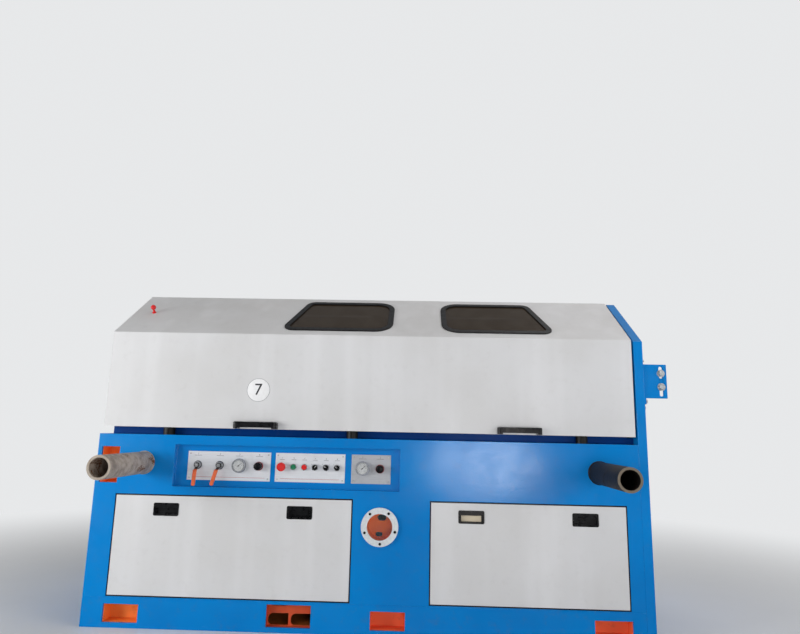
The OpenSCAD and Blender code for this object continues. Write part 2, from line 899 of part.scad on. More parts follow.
module switch_collars() {
    color("#2b2d30") {
        bezel(stop_x, stop_stem_r, stop_bezel_lip);
        for (x = concat(button_x, selector_x)) bezel(x, button_r, bezel_lip);
    }
}

// Mushroom head with a rounded edge, on its stem
module emergency_stop() {
    back = bezel_t + stop_gap;
    color("#d8232a")
    control_at(stop_x) {
        out_of(y_panel, button_travel + over, back + over, stop_stem_r);
        translate([0, y_panel - back, 0]) rotate([90, 0, 0])
            rotate_extrude() {
                square([stop_r, stop_head_t - stop_edge]);
                square([stop_r - stop_edge, stop_head_t]);
                translate([stop_r - stop_edge, stop_head_t - stop_edge])
                    circle(r = stop_edge);
            }
    }
}

module push_button(x) {
    control_at(x) out_of(y_panel, button_travel + over, bezel_t + button_out, button_r);
}

module start_button() { color("#1f8f5a") push_button(button_x[0]); }
module stop_button() { color("#d8232a") push_button(button_x[1]); }

// A round body in its bezel with a finger ridge across it
module selector(i) {
    ridge_l = 2 * (button_r + over);
    color("#17181a")
    control_at(selector_x[i]) rotate([0, selector_turn[i], 0]) {
        out_of(y_panel, over, bezel_t + 2 * over, button_r);
        translate([-ridge_w / 2, y_panel - bezel_t - ridge_h, -ridge_l / 2])
            cube([ridge_w, ridge_h - over, ridge_l]);
    }
}

module selector_1() { selector(0); }
module selector_2() { selector(1); }
module selector_3() { selector(2); }

module at_sight() {
    translate([x_left + sight_x, 0, sight_z]) children();
}

module sight_ring() {
    color("#c9ccce")
    at_sight()
    difference() {
        out_of(y_front, 0, sight_ring_t, sight_ring_r);
        out_of(y_front, -over, sight_ring_t + over, sight_open_r);
        out_of(y_front, -over, sight_glass_t, sight_open_r + sight_seat + fit);
    }
}

module sight_glass() {
    color([0.75, 0.8, 0.8, 0.4])
    at_sight() out_of(y_front, 0, sight_glass_t - fit, sight_open_r + sight_seat);
}

// A round well behind the sight glass, with two outlets in its back
module sight_well() {
    color("#dd6a3c")
    at_sight()
    difference() {
        out_of(y_plate, -sight_well_d, 0, sight_hole_r + sight_well_t);
        out_of(y_plate, -sight_well_d + sight_well_t, over, sight_hole_r);
        for (outlet = well_outlets)
            translate([outlet[0], 0, outlet[1]])
                shape_out_of(y_plate, -sight_well_d - over, -sight_well_d + sight_well_t + over)
                    flat_oval(outlet[2], outlet[3]);
    }
}

// An open box behind a hole in the front
module box_behind(x, w, z, h, depth) {
    inside_d = depth - plate_t;
    translate([x, y_plate, z])
    difference() {
        translate([-pocket_t, 0, -pocket_t])
            cube([w + 2 * pocket_t, inside_d + pocket_t, h + 2 * pocket_t]);
        translate([0, -over, 0]) cube([w, inside_d + over, h]);
    }
}

module side_pocket() {
    color("#dd5f35") box_behind(x_left + slot_x, slot_w, slot_z, slot_h, slot_depth);
}

module pocket(i) {
    color("#dd5f35")
        box_behind(x_left + pocket_x[i], pocket_w[i], pocket_z, pocket_h[i], pocket_depth[i]);
}

// The second pocket's openings, drawn from its lower left corner
module outlets() {
    corners = [[0, 0], [outlet_w, 0], [outlet_w, outlet_h], [0, outlet_h]];
    for (x = outlet_x) translate([x, outlet_sill]) polygon(rounded(corners, outlet_r));
    translate([pocket_slot_x, pocket_h[1] - pocket_slot_h]) square([pocket_slot_w, pocket_slot_h]);
}

// The second pocket is shallow, with two outlets and a slot in its back
module pocket_2() {
    back = -pocket_depth[1];
    color("#dd5f35")
    difference() {
        pocket(1);
        translate([x_left + pocket_x[1], 0, pocket_z])
            shape_out_of(y_front, back - pocket_t - over, back + over) outlets();
    }
}

module pocket_1() { pocket(0); }
module pocket_3() { pocket(2); }
module pocket_4() { pocket(3); }

// A tube right through the body, with a weld round it at the front and at the back
module lifting_tube(x) {
    translate([x, 0, tube_z])
    difference() {
        union() {
            out_of(y_front, -body_d - tube_reach, tube_reach, tube_r);
            translate([0, y_front, 0]) rotate([90, 0, 0]) weld();
            translate([0, y_cover, 0]) rotate([-90, 0, 0]) weld();
        }
        out_of(y_front, -body_d - tube_reach - over, tube_reach + over, tube_r - tube_wall);
    }
}

// The weld's slope runs on a little way into the tube
module weld() {
    cylinder(h = weld_w + over, r1 = tube_r + weld_w, r2 = tube_r - over);
}

module lifting_tube_left() { color("#8a7f78") lifting_tube(x_left + tube_inset); }
module lifting_tube_right() { color("#3b2f2b") lifting_tube(x_right - tube_inset); }

// An angle: a slotted web that faces the front, and a foot along the end wall
module end_bracket() {
    y = y_front + bracket_setback;
    middle_z = bracket_z + bracket_h / 2;
    color("#0b84d8")
    difference() {
        union() {
            translate([x_right, y, bracket_z]) cube([bracket_w, bracket_t, bracket_h]);
            translate([x_right, y, bracket_z - bracket_drop])
                cube([bracket_t, bracket_foot, bracket_h + bracket_drop]);
        }
        for (side = [-1, 1])
            translate([x_right + bracket_slot_x, 0, middle_z + side * bracket_slot_pitch / 2])
                shape_out_of(y, -bracket_t - over, over)
                    rotate(90) flat_oval(bracket_slot_l, bracket_slot_w);
    }
}

module hood_bumpers() {
    straight = hood_gap - fit - bumper_chamfer;
    color("#17181a")
    for (x = bumper_x)
        translate([x_left + x, y_front + rim_setback / 2, plate_h]) {
            cylinder(h = straight, r = bumper_r);
            translate([0, 0, straight])
                cylinder(h = bumper_chamfer, r1 = bumper_r, r2 = bumper_r - bumper_chamfer);
        }
}

module hinge_bases() {
    half = hinge_w / 2;
    color("#0a4f94")
    for (x = hinge_x)
        translate([x_left + x, 0, 0]) {
            translate([-half, hinge_y + hinge_pin_r, housing_h])
                cube([hinge_w, hinge_leaf, hinge_leaf_t]);
            translate([-half, hinge_y, housing_h]) cube([half - fit, hinge_r, hinge_z - housing_h]);
            translate([-half, hinge_y, hinge_z]) rotate([0, 90, 0])
                cylinder(h = half - fit, r = hinge_r);
            translate([-half, hinge_y, hinge_z]) rotate([0, 90, 0])
                cylinder(h = hinge_w, r = hinge_pin_r);
        }
}

module hinge_leaves() {
    half = hinge_w / 2;
    color("#d4d6d4")
    for (x = hinge_x)
        translate([x_left + x, hinge_y, 0])
        difference() {
            union() {
                translate([-half, -hinge_leaf - hinge_r, hood_top_z])
                    cube([hinge_w, hinge_leaf, hinge_leaf_t]);
                translate([fit, -hinge_r - over, hood_top_z])
                    cube([half - fit, hinge_r + over, hinge_r]);
                translate([fit, 0, hinge_z]) rotate([0, 90, 0])
                    cylinder(h = half - fit, r = hinge_r);
            }
            translate([-half - over, 0, hinge_z]) rotate([0, 90, 0])
                cylinder(h = hinge_w + 2 * over, r = hinge_pin_r + fit);
        }
}

// The hood seen from its end. The inside is a sheet's thickness t further in and, to cut the
// hood open, runs a little past it at the bottom and at the back.
function hood_outline(t, past) =
    rounded([[y_front + t, hood_z - past],
             [hood_back_y + past, hood_z - past],
             [hood_back_y + past, hood_top_z - t],
             [y_front + hood_slope_d + t * (1 - cos(slope_a)) / sin(slope_a), hood_top_z - t],
             [y_front + t, hood_crease_z - t * (1 - sin(slope_a)) / cos(slope_a)]],
            [0, 0, 0, hood_fold_r - t, hood_fold_r - t]);

// The hood's folded sheet runs between its end plates, with a fold along its lower edge
module hood_shell() {
    from = hood_x + hood_sheet;
    to = hood_end_x - hood_sheet;
    color("#d4d6d4") {
        difference() {
            across(from, to) polygon(hood_outline(0, 0));
            across(from - over, to + over) polygon(hood_outline(hood_sheet, over));
            for (k = [0, 1])
                on_slope() translate([0, 0, -hood_sheet - over])
                    linear_extrude(hood_sheet + 2 * over)
                        polygon(rounded(window_points(k), window_radii(k), window_cut));
        }
        translate([from, y_front, hood_z]) cube([to - from, hood_fold, hood_sheet]);
    }
}

// A plate across each end of the hood, with a fold along its lower edge behind the front's
module hood_ends() {
    color("#d4d6d4") {
        for (x = [hood_x, hood_end_x - hood_sheet])
            across(x, x + hood_sheet) polygon(hood_outline(0, 0));
        for (x = [hood_x, hood_end_x - hood_side_fold])
            translate([x, y_front + hood_fold, hood_z])
                cube([hood_side_fold, hood_back_y - y_front - hood_fold, hood_sheet]);
    }
}

module hood_glass() {
    edge = (window_cut + seal_w) / 2 + fit;
    color([0.16, 0.15, 0.13, 0.6])
    for (k = [0, 1])
        on_slope() translate([0, 0, -hood_sheet / 2 - glass_t / 2])
            linear_extrude(glass_t) polygon(rounded(window_points(k), window_radii(k), edge));
}

module window_ring(k, outer, inner, from, to) {
    translate([0, 0, from])
        linear_extrude(to - from)
            difference() {
                polygon(rounded(window_points(k), window_radii(k), outer));
                polygon(rounded(window_points(k), window_radii(k), inner));
            }
}

// The rubber seal grips the sheet's edge on its outside and the glass on its inside
module window_seals() {
    color("#17181a")
    for (k = [0, 1])
        on_slope() {
            window_ring(k, 0, seal_w, lie, seal_t);
            window_ring(k, 0, seal_w, -hood_sheet - seal_t, -hood_sheet - lie);
            window_ring(k, window_cut + fit, (window_cut + seal_w) / 2,
                        -hood_sheet - over, over);
        }
}

// A bow handle's outline seen from above, and the room for the fingers that is cut from it
function bow(half) =
    rounded([[-half, 0], [-half, -handle_reach], [half, -handle_reach], [half, 0]],
            [0, handle_r, handle_r, 0]);
function grip_room(half) =
    let (y1 = -handle_reach + handle_bar, slant = handle_bar / 2)
    rounded([[-half, over], [-half + slant, y1], [half - slant, y1], [half, over]],
            [0, handle_r / 2, handle_r / 2, 0]);

// The handle seen from the front, with round shoulders, and the notch between its feet
function handle_face(half) =
    rounded([[-half, 0], [half, 0], [half, handle_h], [-half, handle_h]],
            [0, 0, handle_shoulder, handle_shoulder]);
module handle_notch(half) {
    translate([-half, -handle_reach - over, -over])
        cube([2 * half, handle_reach, handle_drop + over]);
}

module hood_handles() {
    outer = handle_l / 2;
    inner = outer - handle_foot;
    color("#17181a")
    for (x = handle_x)
        translate([hood_x + x, y_front, hood_z + handle_z])
        difference() {
            intersection() {
                linear_extrude(handle_h) polygon(bow(outer));
                shape_out_of(0, -over, handle_reach + over) polygon(handle_face(outer));
            }
            translate([0, 0, -over]) linear_extrude(handle_h + 2 * over) polygon(grip_room(inner));
            handle_notch(inner);
        }
}

// A ball on a stem, which ends in the ball, with a round foot on the hood
module ball_lamp() {
    color("#d8232a")
    on_slope() translate([hood_x + lamp_x, lamp_s, lie]) {
        cylinder(h = lamp_foot_t, r = lamp_foot_r);
        cylinder(h = lamp_stem + lamp_stem_r, r = lamp_stem_r);
        translate([0, 0, lamp_stem + norm([lamp_r, lamp_stem_r]) - lamp_stem_r])
            sphere(r = lamp_r);
    }
}

// Places a piece at a shaft's axis, with Z running from the given place to the front
module at_axis(x, z, y = boss_y) {
    translate([x_left + x, y, z]) rotate([90, 0, 0]) children();
}

module bearing_housing() {
    straight = boss_l - barrel_chamfer;
    cylinder(h = boss_flange_t, r = boss_r);
    cylinder(h = straight, r = barrel_r);
    translate([0, 0, straight])
        cylinder(h = barrel_chamfer, r1 = barrel_r, r2 = barrel_r - barrel_chamfer);
}

// A flanged bearing housing on the gear housing for each shaft
module bearing_housings() {
    color("#0a4f94") {
        for (x = cone_x) at_axis(x, cone_z, y_housing) bearing_housing();
        at_axis(drum_x, drum_z, y_housing) bearing_housing();
    }
}

// Outline of a stepped cone from its back flange to its nose
function cone_outline() =
    let (last = step_r(cone_steps - 1), nose = cone_flange_t + cone_steps * step_w)
    concat([[0, 0], [step_r(0) + cone_back_lip, 0], [step_r(0) + cone_back_lip, cone_flange_t]],
           [for (i = [0:cone_steps - 1]) each
               [[step_r(i), cone_flange_t + i * step_w],
                [step_r(i), cone_flange_t + (i + 1) * step_w - step_lip],
                [step_r(i) - step_lip, cone_flange_t + (i + 1) * step_w]]],
           [[last + cone_nose_lip, nose], [last + cone_nose_lip, nose + cone_flange_t],
            [0, nose + cone_flange_t]]);

// Four stepped cones on their shafts, each with a cap and a nut in front
module drawing_cones() {
    length = 2 * cone_flange_t + cone_steps * step_w;
    color("#9aa0a3")
    for (x = cone_x)
        at_axis(x, cone_z) {
            cylinder(h = shaft_gap + over, r = shaft_r);
            translate([0, 0, shaft_gap]) {
                rotate_extrude() polygon(cone_outline());
                translate([0, 0, length - over]) cylinder(h = cap_t + over, r = cap_r);
                translate([0, 0, length + cap_t - over])
                    cylinder(h = nut_t + over, r = nut_r, $fn = 6);
            }
        }
}

// Repeats a piece at each die of a stand, with Z along the wire; a die lies at the height of
// its steps' upper tangents
module at_dies(x) {
    for (i = [0:cone_steps - 1])
        translate([x, y_housing - step_y(i), cone_z + step_r(i)]) rotate([0, 90, 0]) children();
}

// A stand: a foot on the housing, a web that follows the cones' slope and a seat for each die
module die_stand(x) {
    reach = step_y(cone_steps - 1) + step_w / 2;
    low_z = cone_z - stand_drop;
    high_z = cone_z + step_r(0) + stand_rise;
    seat_r = die_r + seat_wall;
    difference() {
        union() {
            across(x - stand_web / 2, x + stand_web / 2)
                polygon([[y_housing - over, low_z], [y_housing - over, high_z],
                         [y_housing - reach, cone_z + step_r(cone_steps - 1) + stand_rise],
                         [y_housing - reach, cone_z + step_r(cone_steps - 1) - stand_rise]]);
            translate([x - foot_w / 2, y_housing - foot_t, low_z - stand_rise])
                cube([foot_w, foot_t, high_z - low_z + 2 * stand_rise]);
            at_dies(x) translate([0, 0, -seat_l / 2]) cylinder(h = seat_l, r = seat_r);
        }
        at_dies(x) translate([0, 0, -seat_l / 2 - over])
            cylinder(h = seat_l + 2 * over, r = die_r + fit);
    }
}

module die_stands() {
    color("#5d6468")
    for (x = stand_x) die_stand(x);
}

// A round die with a funnel in front of its hole
module drawing_die() {
    translate([0, 0, -die_t / 2])
        rotate_extrude()
            polygon([[die_hole_r, 0], [die_r, 0], [die_r, die_t], [die_funnel_r, die_t],
                     [die_hole_r, die_t / 2]]);
}

// The hollow screw that holds a die in its seat, with a hexagonal head
module die_clamp() {
    shank = (seat_l - die_t) / 2;
    difference() {
        union() {
            translate([0, 0, die_t / 2]) cylinder(h = shank + over, r = die_r);
            translate([0, 0, seat_l / 2]) cylinder(h = clamp_t, r = clamp_r, $fn = 6);
        }
        translate([0, 0, die_t / 2 - over])
            cylinder(h = shank + clamp_t + 2 * over, r = die_funnel_r);
    }
}

module drawing_dies() {
    color("#b58b3a")
    for (x = stand_x)
        at_dies(x) {
            drawing_die();
            die_clamp();
        }
}

// The drum seen in section: a back flange that slopes down to the face, a front flange and
// an open front with the shaft's boss in it
function drum_outline() =
    let (front = drum_w - drum_flange_t, floor_z = drum_w - drum_dish)
    [[0, 0], [drum_r + drum_back_lip, 0], [drum_r + drum_back_lip, drum_flange_t],
     [drum_r, drum_flange_t + drum_back_lip], [drum_r, front - drum_front_lip],
     [drum_r + drum_front_lip, front], [drum_r + drum_front_lip, drum_w],
     [drum_r - drum_rim, drum_w], [drum_r - drum_rim, floor_z], [cap_r, floor_z],
     [cap_r, floor_z + cap_t], [0, floor_z + cap_t]];

module finishing_drum() {
    color("#a9aeb1")
    at_axis(drum_x, drum_z) {
        cylinder(h = shaft_gap + over, r = shaft_r);
        translate([0, 0, shaft_gap]) rotate_extrude() polygon(drum_outline());
        translate([0, 0, shaft_gap + drum_w - drum_dish + cap_t - over])
            cylinder(h = nut_t + over, r = nut_r, $fn = 6);
    }
}

base_plate();
front_sill();
front_plate();
left_wall();
end_wall();
gear_housing();
rear_covers();
deck();
tank();
door_frames();
left_door();
right_door();
left_door_pulls();
right_door_pulls();
control_recess();
valve_panel();
switch_panel();
regulator_panel();
valve_hubs();
pressure_gauges();
knob_collars();
switch_collars();
sight_ring();
sight_glass();
sight_well();
side_pocket();
pocket_1();
pocket_2();
pocket_3();
pocket_4();
lifting_tube_left();
lifting_tube_right();
end_bracket();
hood_bumpers();
hinge_bases();
bearing_housings();
drawing_cones();
die_stands();
drawing_dies();
finishing_drum();
hood_shell();
hood_ends();
hood_glass();
window_seals();
hood_handles();
ball_lamp();
hinge_leaves();
valve_lever_1();
valve_lever_2();
regulator_knob_1();
regulator_knob_2();
emergency_stop();
start_button();
stop_button();
selector_1();
selector_2();
selector_3();
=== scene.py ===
# Looks of the wet wire drawing machine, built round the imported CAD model.
# Metres, in the CAD model's own frame: +X along the machine, -Y out of its front, +Z up.
import json
import math

import bmesh
import bpy
from mathutils import Matrix, Vector


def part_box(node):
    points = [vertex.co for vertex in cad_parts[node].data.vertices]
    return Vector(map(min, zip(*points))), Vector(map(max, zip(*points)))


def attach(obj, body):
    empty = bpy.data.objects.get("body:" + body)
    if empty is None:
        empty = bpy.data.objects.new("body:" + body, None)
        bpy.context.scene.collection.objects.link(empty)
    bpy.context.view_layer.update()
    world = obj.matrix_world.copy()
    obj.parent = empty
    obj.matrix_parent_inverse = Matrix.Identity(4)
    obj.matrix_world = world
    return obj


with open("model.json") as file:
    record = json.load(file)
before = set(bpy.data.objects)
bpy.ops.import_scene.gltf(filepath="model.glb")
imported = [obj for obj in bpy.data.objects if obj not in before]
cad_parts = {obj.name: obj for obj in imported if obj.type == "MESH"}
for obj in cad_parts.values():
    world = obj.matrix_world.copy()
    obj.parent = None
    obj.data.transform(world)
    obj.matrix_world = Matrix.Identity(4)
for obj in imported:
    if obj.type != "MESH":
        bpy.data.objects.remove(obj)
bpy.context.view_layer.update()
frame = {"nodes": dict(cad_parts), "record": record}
NODES = frame["nodes"]

FRONT = (0, -1, 0)
BACK = (0, 1, 0)
RIGHT = (1, 0, 0)
UP = (0, 0, 1)


# Shader nodes

class Nodes:
    """A shader's node tree under construction."""

    def __init__(self, tree):
        self.tree = tree

    def put(self, node, values):
        """Links each named or numbered input to a socket, or sets it to a value."""
        for key, value in values.items():
            socket = node.inputs[key]
            if isinstance(value, bpy.types.NodeSocket):
                self.tree.links.new(value, socket)
            else:
                socket.default_value = value

    def add(self, kind, values=None, **settings):
        node = self.tree.nodes.new(kind)
        for key, value in settings.items():
            setattr(node, key, value)
        self.put(node, values or {})
        return node

    def math(self, operation, a, b=0.0):
        return self.add("ShaderNodeMath", {0: a, 1: b}, operation=operation).outputs[0]

    def times(self, a, b):
        return self.math("MULTIPLY", a, b)

    def plus(self, a, b):
        return self.math("ADD", a, b)

    def ramp(self, value, low, high, start=0.0, end=1.0, kind="SMOOTHSTEP"):
        """Takes value from low..high to start..end, held at both ends."""
        node = self.add("ShaderNodeMapRange", {
            "Value": value, "From Min": low, "From Max": high,
            "To Min": start, "To Max": end}, interpolation_type=kind)
        return node.outputs["Result"]

    def choose(self, factor, a, b):
        """Shader a where factor is 0 and b where it is 1."""
        return self.add("ShaderNodeMixShader", {0: factor, 1: a, 2: b}).outputs[0]


class Look(Nodes):
    """A material under construction, with one Principled shader."""

    def __init__(self, name, **values):
        self.material = bpy.data.materials.new(name)
        self.material.use_nodes = True
        super().__init__(self.material.node_tree)
        self.shader = self.tree.nodes["Principled BSDF"]
        self.set(**values)
        self.place = self.add("ShaderNodeTexCoord").outputs["Object"]

    def set(self, **values):
        """Puts the Principled shader's inputs, with _ for each space in a name."""
        self.put(self.shader, {key.replace("_", " "): value for key, value in values.items()})

    def axis(self, name):
        return self.add("ShaderNodeSeparateXYZ", {0: self.place}).outputs[name]

    def stretched(self, x, y, z):
        """Place multiplied along each axis, for streaks."""
        return self.add("ShaderNodeVectorMath", {0: self.place, 1: (x, y, z)},
                        operation="MULTIPLY").outputs[0]

    def noise(self, scale, detail=3.0, rough=0.5, place=None, distortion=0.0):
        node = self.add("ShaderNodeTexNoise", {
            "Vector": place or self.place, "Scale": scale, "Detail": detail,
            "Roughness": rough, "Distortion": distortion})
        return node.outputs["Fac"]

    def mix(self, factor, a, b):
        """Colour a where factor is 0 and b where it is 1."""
        node = self.add("ShaderNodeMix", {0: factor, 6: a, 7: b}, data_type="RGBA")
        return node.outputs[2]

    def blend(self, factor, a, b):
        """Number a where factor is 0 and b where it is 1."""
        node = self.add("ShaderNodeMix", {0: factor, 2: a, 3: b}, data_type="FLOAT")
        return node.outputs[0]

    def bump(self, height, distance, strength, normal=None):
        values = {"Height": height, "Distance": distance, "Strength": strength}
        if normal is not None:
            values["Normal"] = normal
        return self.add("ShaderNodeBump", values).outputs["Normal"]

    def edges(self, radius=0.004):
        """0 on flat faces, towards 1 along outer edges and in corners."""
        soft = self.add("ShaderNodeBevel", {"Radius": radius}, samples=4).outputs["Normal"]
        hard = self.add("ShaderNodeNewGeometry").outputs["Normal"]
        dot = self.add("ShaderNodeVectorMath", {0: soft, 1: hard}, operation="DOT_PRODUCT")
        return self.ramp(dot.outputs["Value"], 0.995, 0.80)


# Kinds of material

def srgb(r, g, b):
    """A colour given as 0-255 screen values, as the linear colour that Blender uses."""
    def one(value):
        value /= 255
        return value / 12.92 if value <= 0.04045 else ((value + 0.055) / 1.055) ** 2.4
    return (one(r), one(g), one(b), 1.0)


DUST = srgb(96, 84, 70)
GRIME = srgb(70, 62, 52)
SMEAR = srgb(150, 148, 140)
WORN_PRINT = srgb(130, 126, 118)
# Dust is thickest at the floor and thins out up to this height
DUST_TOP = 0.30
# How deep the relief of each kind goes
PEEL_DEPTH = 0.00012
SHEET_WAVE = 0.0022
MOULD_GRAIN = 0.00006
BRUSHED_GRAIN = 0.00008
RUST_RELIEF = 0.0012
VINYL_GRAIN = 0.0002
# Where the grip of a valve lever begins, below the lever's pivot
GRIP_DROP = 0.0180
GRIP_FADE = 0.0015
# Where a pipe ends along Y, and how its bare rim fades in along an uneven line
TUBE_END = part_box("lifting_tube_left")[1].y
RIM_FADE = 0.0015
RIM_UNEVEN = 0.004


def paint(name, base, dark, pale, rough, dirt=0.3, floor_dirt=0.35, streaks=0.0, peel=1.0,
          grain=420, shine=0.22):
    """Sprayed sheet metal: soft patches, orange peel, dust that gathers low, and edges lightened
    partly as wear and partly as painted highlight.
    """
    look = Look(name, Specular_IOR_Level=shine)
    patches = look.ramp(look.noise(2.2, detail=4, rough=0.55), 0.34, 0.68)
    colour = look.mix(look.times(patches, 0.55), base, dark)
    if streaks:
        lines = look.noise(7, detail=2, place=look.stretched(1, 1, 0.05))
        colour = look.mix(look.ramp(lines, 0.42, 0.72, end=streaks), colour, pale)
    low = look.ramp(look.axis("Z"), DUST_TOP, 0.0, end=floor_dirt)
    blots = look.ramp(look.noise(23, detail=5, rough=0.65), 0.52, 0.74, end=dirt)
    dust = look.times(look.plus(low, 0.25), blots)
    colour = look.mix(dust, colour, DUST)
    # Paler along edges and in corners: partly paint worn through, partly a painted highlight
    edge_wear_and_highlight = look.ramp(look.noise(48, detail=4, rough=0.6), 0.47, 0.62)
    colour = look.mix(look.times(look.times(look.edges(), edge_wear_and_highlight), 0.5), colour, pale)
    rubs = look.noise(30, rough=0.6, place=look.stretched(0.25, 1, 3.5), distortion=0.6)
    colour = look.mix(look.ramp(rubs, 0.70, 0.78, end=0.22), colour, pale)
    gloss = look.noise(9, detail=4, rough=0.6)
    roughness = look.ramp(gloss, 0.3, 0.75, rough - 0.04, rough + 0.06)
    wave = look.bump(look.noise(3.1, detail=2, rough=0.4), SHEET_WAVE, 0.25)
    look.set(Base_Color=colour,
             Roughness=look.plus(roughness, look.times(dust, 0.3)),
             Normal=look.bump(look.noise(grain, detail=2), PEEL_DEPTH * peel, 0.6, wave))
    return look.material


def plastic(name, base, pale, rough, grain=700):
    """Moulded plastic: fine grain, smudges that change its gloss, rubbed edges."""
    look = Look(name, Specular_IOR_Level=0.25)
    smudges = look.noise(38, detail=4, rough=0.6)
    rubbed = look.times(look.edges(radius=0.0012),
                        look.ramp(look.noise(160), 0.40, 0.62, end=0.25))
    colour = look.mix(look.ramp(smudges, 0.45, 0.75, end=0.12), base, pale)
    look.set(Base_Color=look.mix(rubbed, colour, pale),
             Roughness=look.ramp(smudges, 0.3, 0.75, rough - 0.07, rough + 0.12),
             Normal=look.bump(look.noise(grain, detail=2), MOULD_GRAIN, 0.5))
    return look.material


def metal(name, base, dark, rough, brushed=(1, 1, 1), metallic=1.0, grime=0.35):
    """Bare or plated metal, with a brushed or turned grain and blots of grime."""
    look = Look(name, Metallic=metallic)
    grain = look.noise(90, detail=4, rough=0.6, place=look.stretched(*brushed))
    stain = look.ramp(look.noise(17, detail=5, rough=0.65), 0.50, 0.74, end=grime)
    roughness = look.ramp(grain, 0.3, 0.7, rough - 0.05, rough + 0.08)
    look.set(Base_Color=look.mix(stain, look.mix(look.ramp(grain, 0.3, 0.7), base, dark), GRIME),
             Roughness=look.plus(roughness, look.times(stain, 0.35)),
             Normal=look.bump(grain, BRUSHED_GRAIN, 0.4))
    return look.material


def rusty_tube(name, coat, coat_dark, rust, rust_dark, rusted, rim, rim_w):
    """Pipe with patchy old paint over rust and a bare rim at each end."""
    look = Look(name, Specular_IOR_Level=0.2)
    big = look.noise(9, detail=6, rough=0.68, place=look.stretched(1, 0.55, 1), distortion=0.8)
    fine = look.noise(75, detail=5, rough=0.7)
    patches = look.plus(big, look.times(look.math("SUBTRACT", fine, 0.5), 0.35))
    bare = look.ramp(patches, 0.60 - rusted, 0.70 - rusted)
    coat_blots = look.ramp(look.noise(31, detail=4, rough=0.6), 0.35, 0.7)
    rust_blots = look.ramp(look.noise(120, detail=4, rough=0.7), 0.35, 0.68)
    colour = look.mix(bare, look.mix(coat_blots, coat, coat_dark),
                      look.mix(rust_blots, rust, rust_dark))
    reach = look.plus(look.math("ABSOLUTE", look.axis("Y")), look.times(fine, RIM_UNEVEN))
    end = look.ramp(reach, TUBE_END - rim_w, TUBE_END - rim_w + RIM_FADE)
    relief = look.plus(patches, look.times(fine, 0.4))
    look.set(Base_Color=look.mix(look.times(end, 0.85), colour, rim),
             Metallic=look.times(end, 0.25),
             Roughness=look.blend(bare, 0.55, 0.85),
             Normal=look.bump(relief, RUST_RELIEF, 0.7))
    return look.material


def glass(name, tint, alpha, smeared, rough=0.04, shine=0.5):
    """Thin pane with faint smears, seen through by its alpha."""
    look = Look(name, IOR=1.3, Specular_IOR_Level=shine)
    smears = look.noise(14, detail=5, rough=0.65, place=look.stretched(1, 1, 0.4))
    look.set(Base_Color=look.mix(look.ramp(smears, 0.4, 0.75, end=smeared), tint, SMEAR),
             Alpha=look.ramp(smears, 0.35, 0.75, alpha, alpha + 0.4 * smeared),
             Roughness=look.ramp(smears, 0.3, 0.8, rough, rough + 0.12))
    return look.material


def printed(name, base):
    """Ink or enamel on a small plate, a little uneven."""
    look = Look(name)
    worn = look.ramp(look.noise(60, detail=4), 0.4, 0.8, end=0.10)
    look.set(Base_Color=look.mix(worn, base, WORN_PRINT),
             Roughness=look.ramp(look.noise(25), 0.3, 0.7, 0.36, 0.52))
    return look.material


def lever_look(pivot_z):
    """Orange dipped vinyl grip on a plated steel arm; the grip starts below the hub."""
    look = Look("lever_vinyl")
    grip_top = pivot_z - GRIP_DROP
    grip = look.ramp(look.axis("Z"), grip_top, grip_top - GRIP_FADE)
    smudges = look.noise(55, detail=4, rough=0.6)
    vinyl = look.mix(look.ramp(smudges, 0.42, 0.75, end=0.5), srgb(238, 108, 58),
                     srgb(190, 78, 44))
    steel = look.mix(look.ramp(smudges, 0.3, 0.7), srgb(92, 90, 88), srgb(52, 50, 48))
    look.set(Base_Color=look.mix(grip, steel, vinyl),
             Metallic=look.blend(grip, 0.85, 0.0),
             Roughness=look.blend(grip, 0.35, 0.48),
             Normal=look.bump(look.noise(260), VINYL_GRAIN, 0.5))
    return look.material


def middle(node):
    lo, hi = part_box(node)
    return (lo + hi) / 2


# Materials of the CAD nodes, by material slot

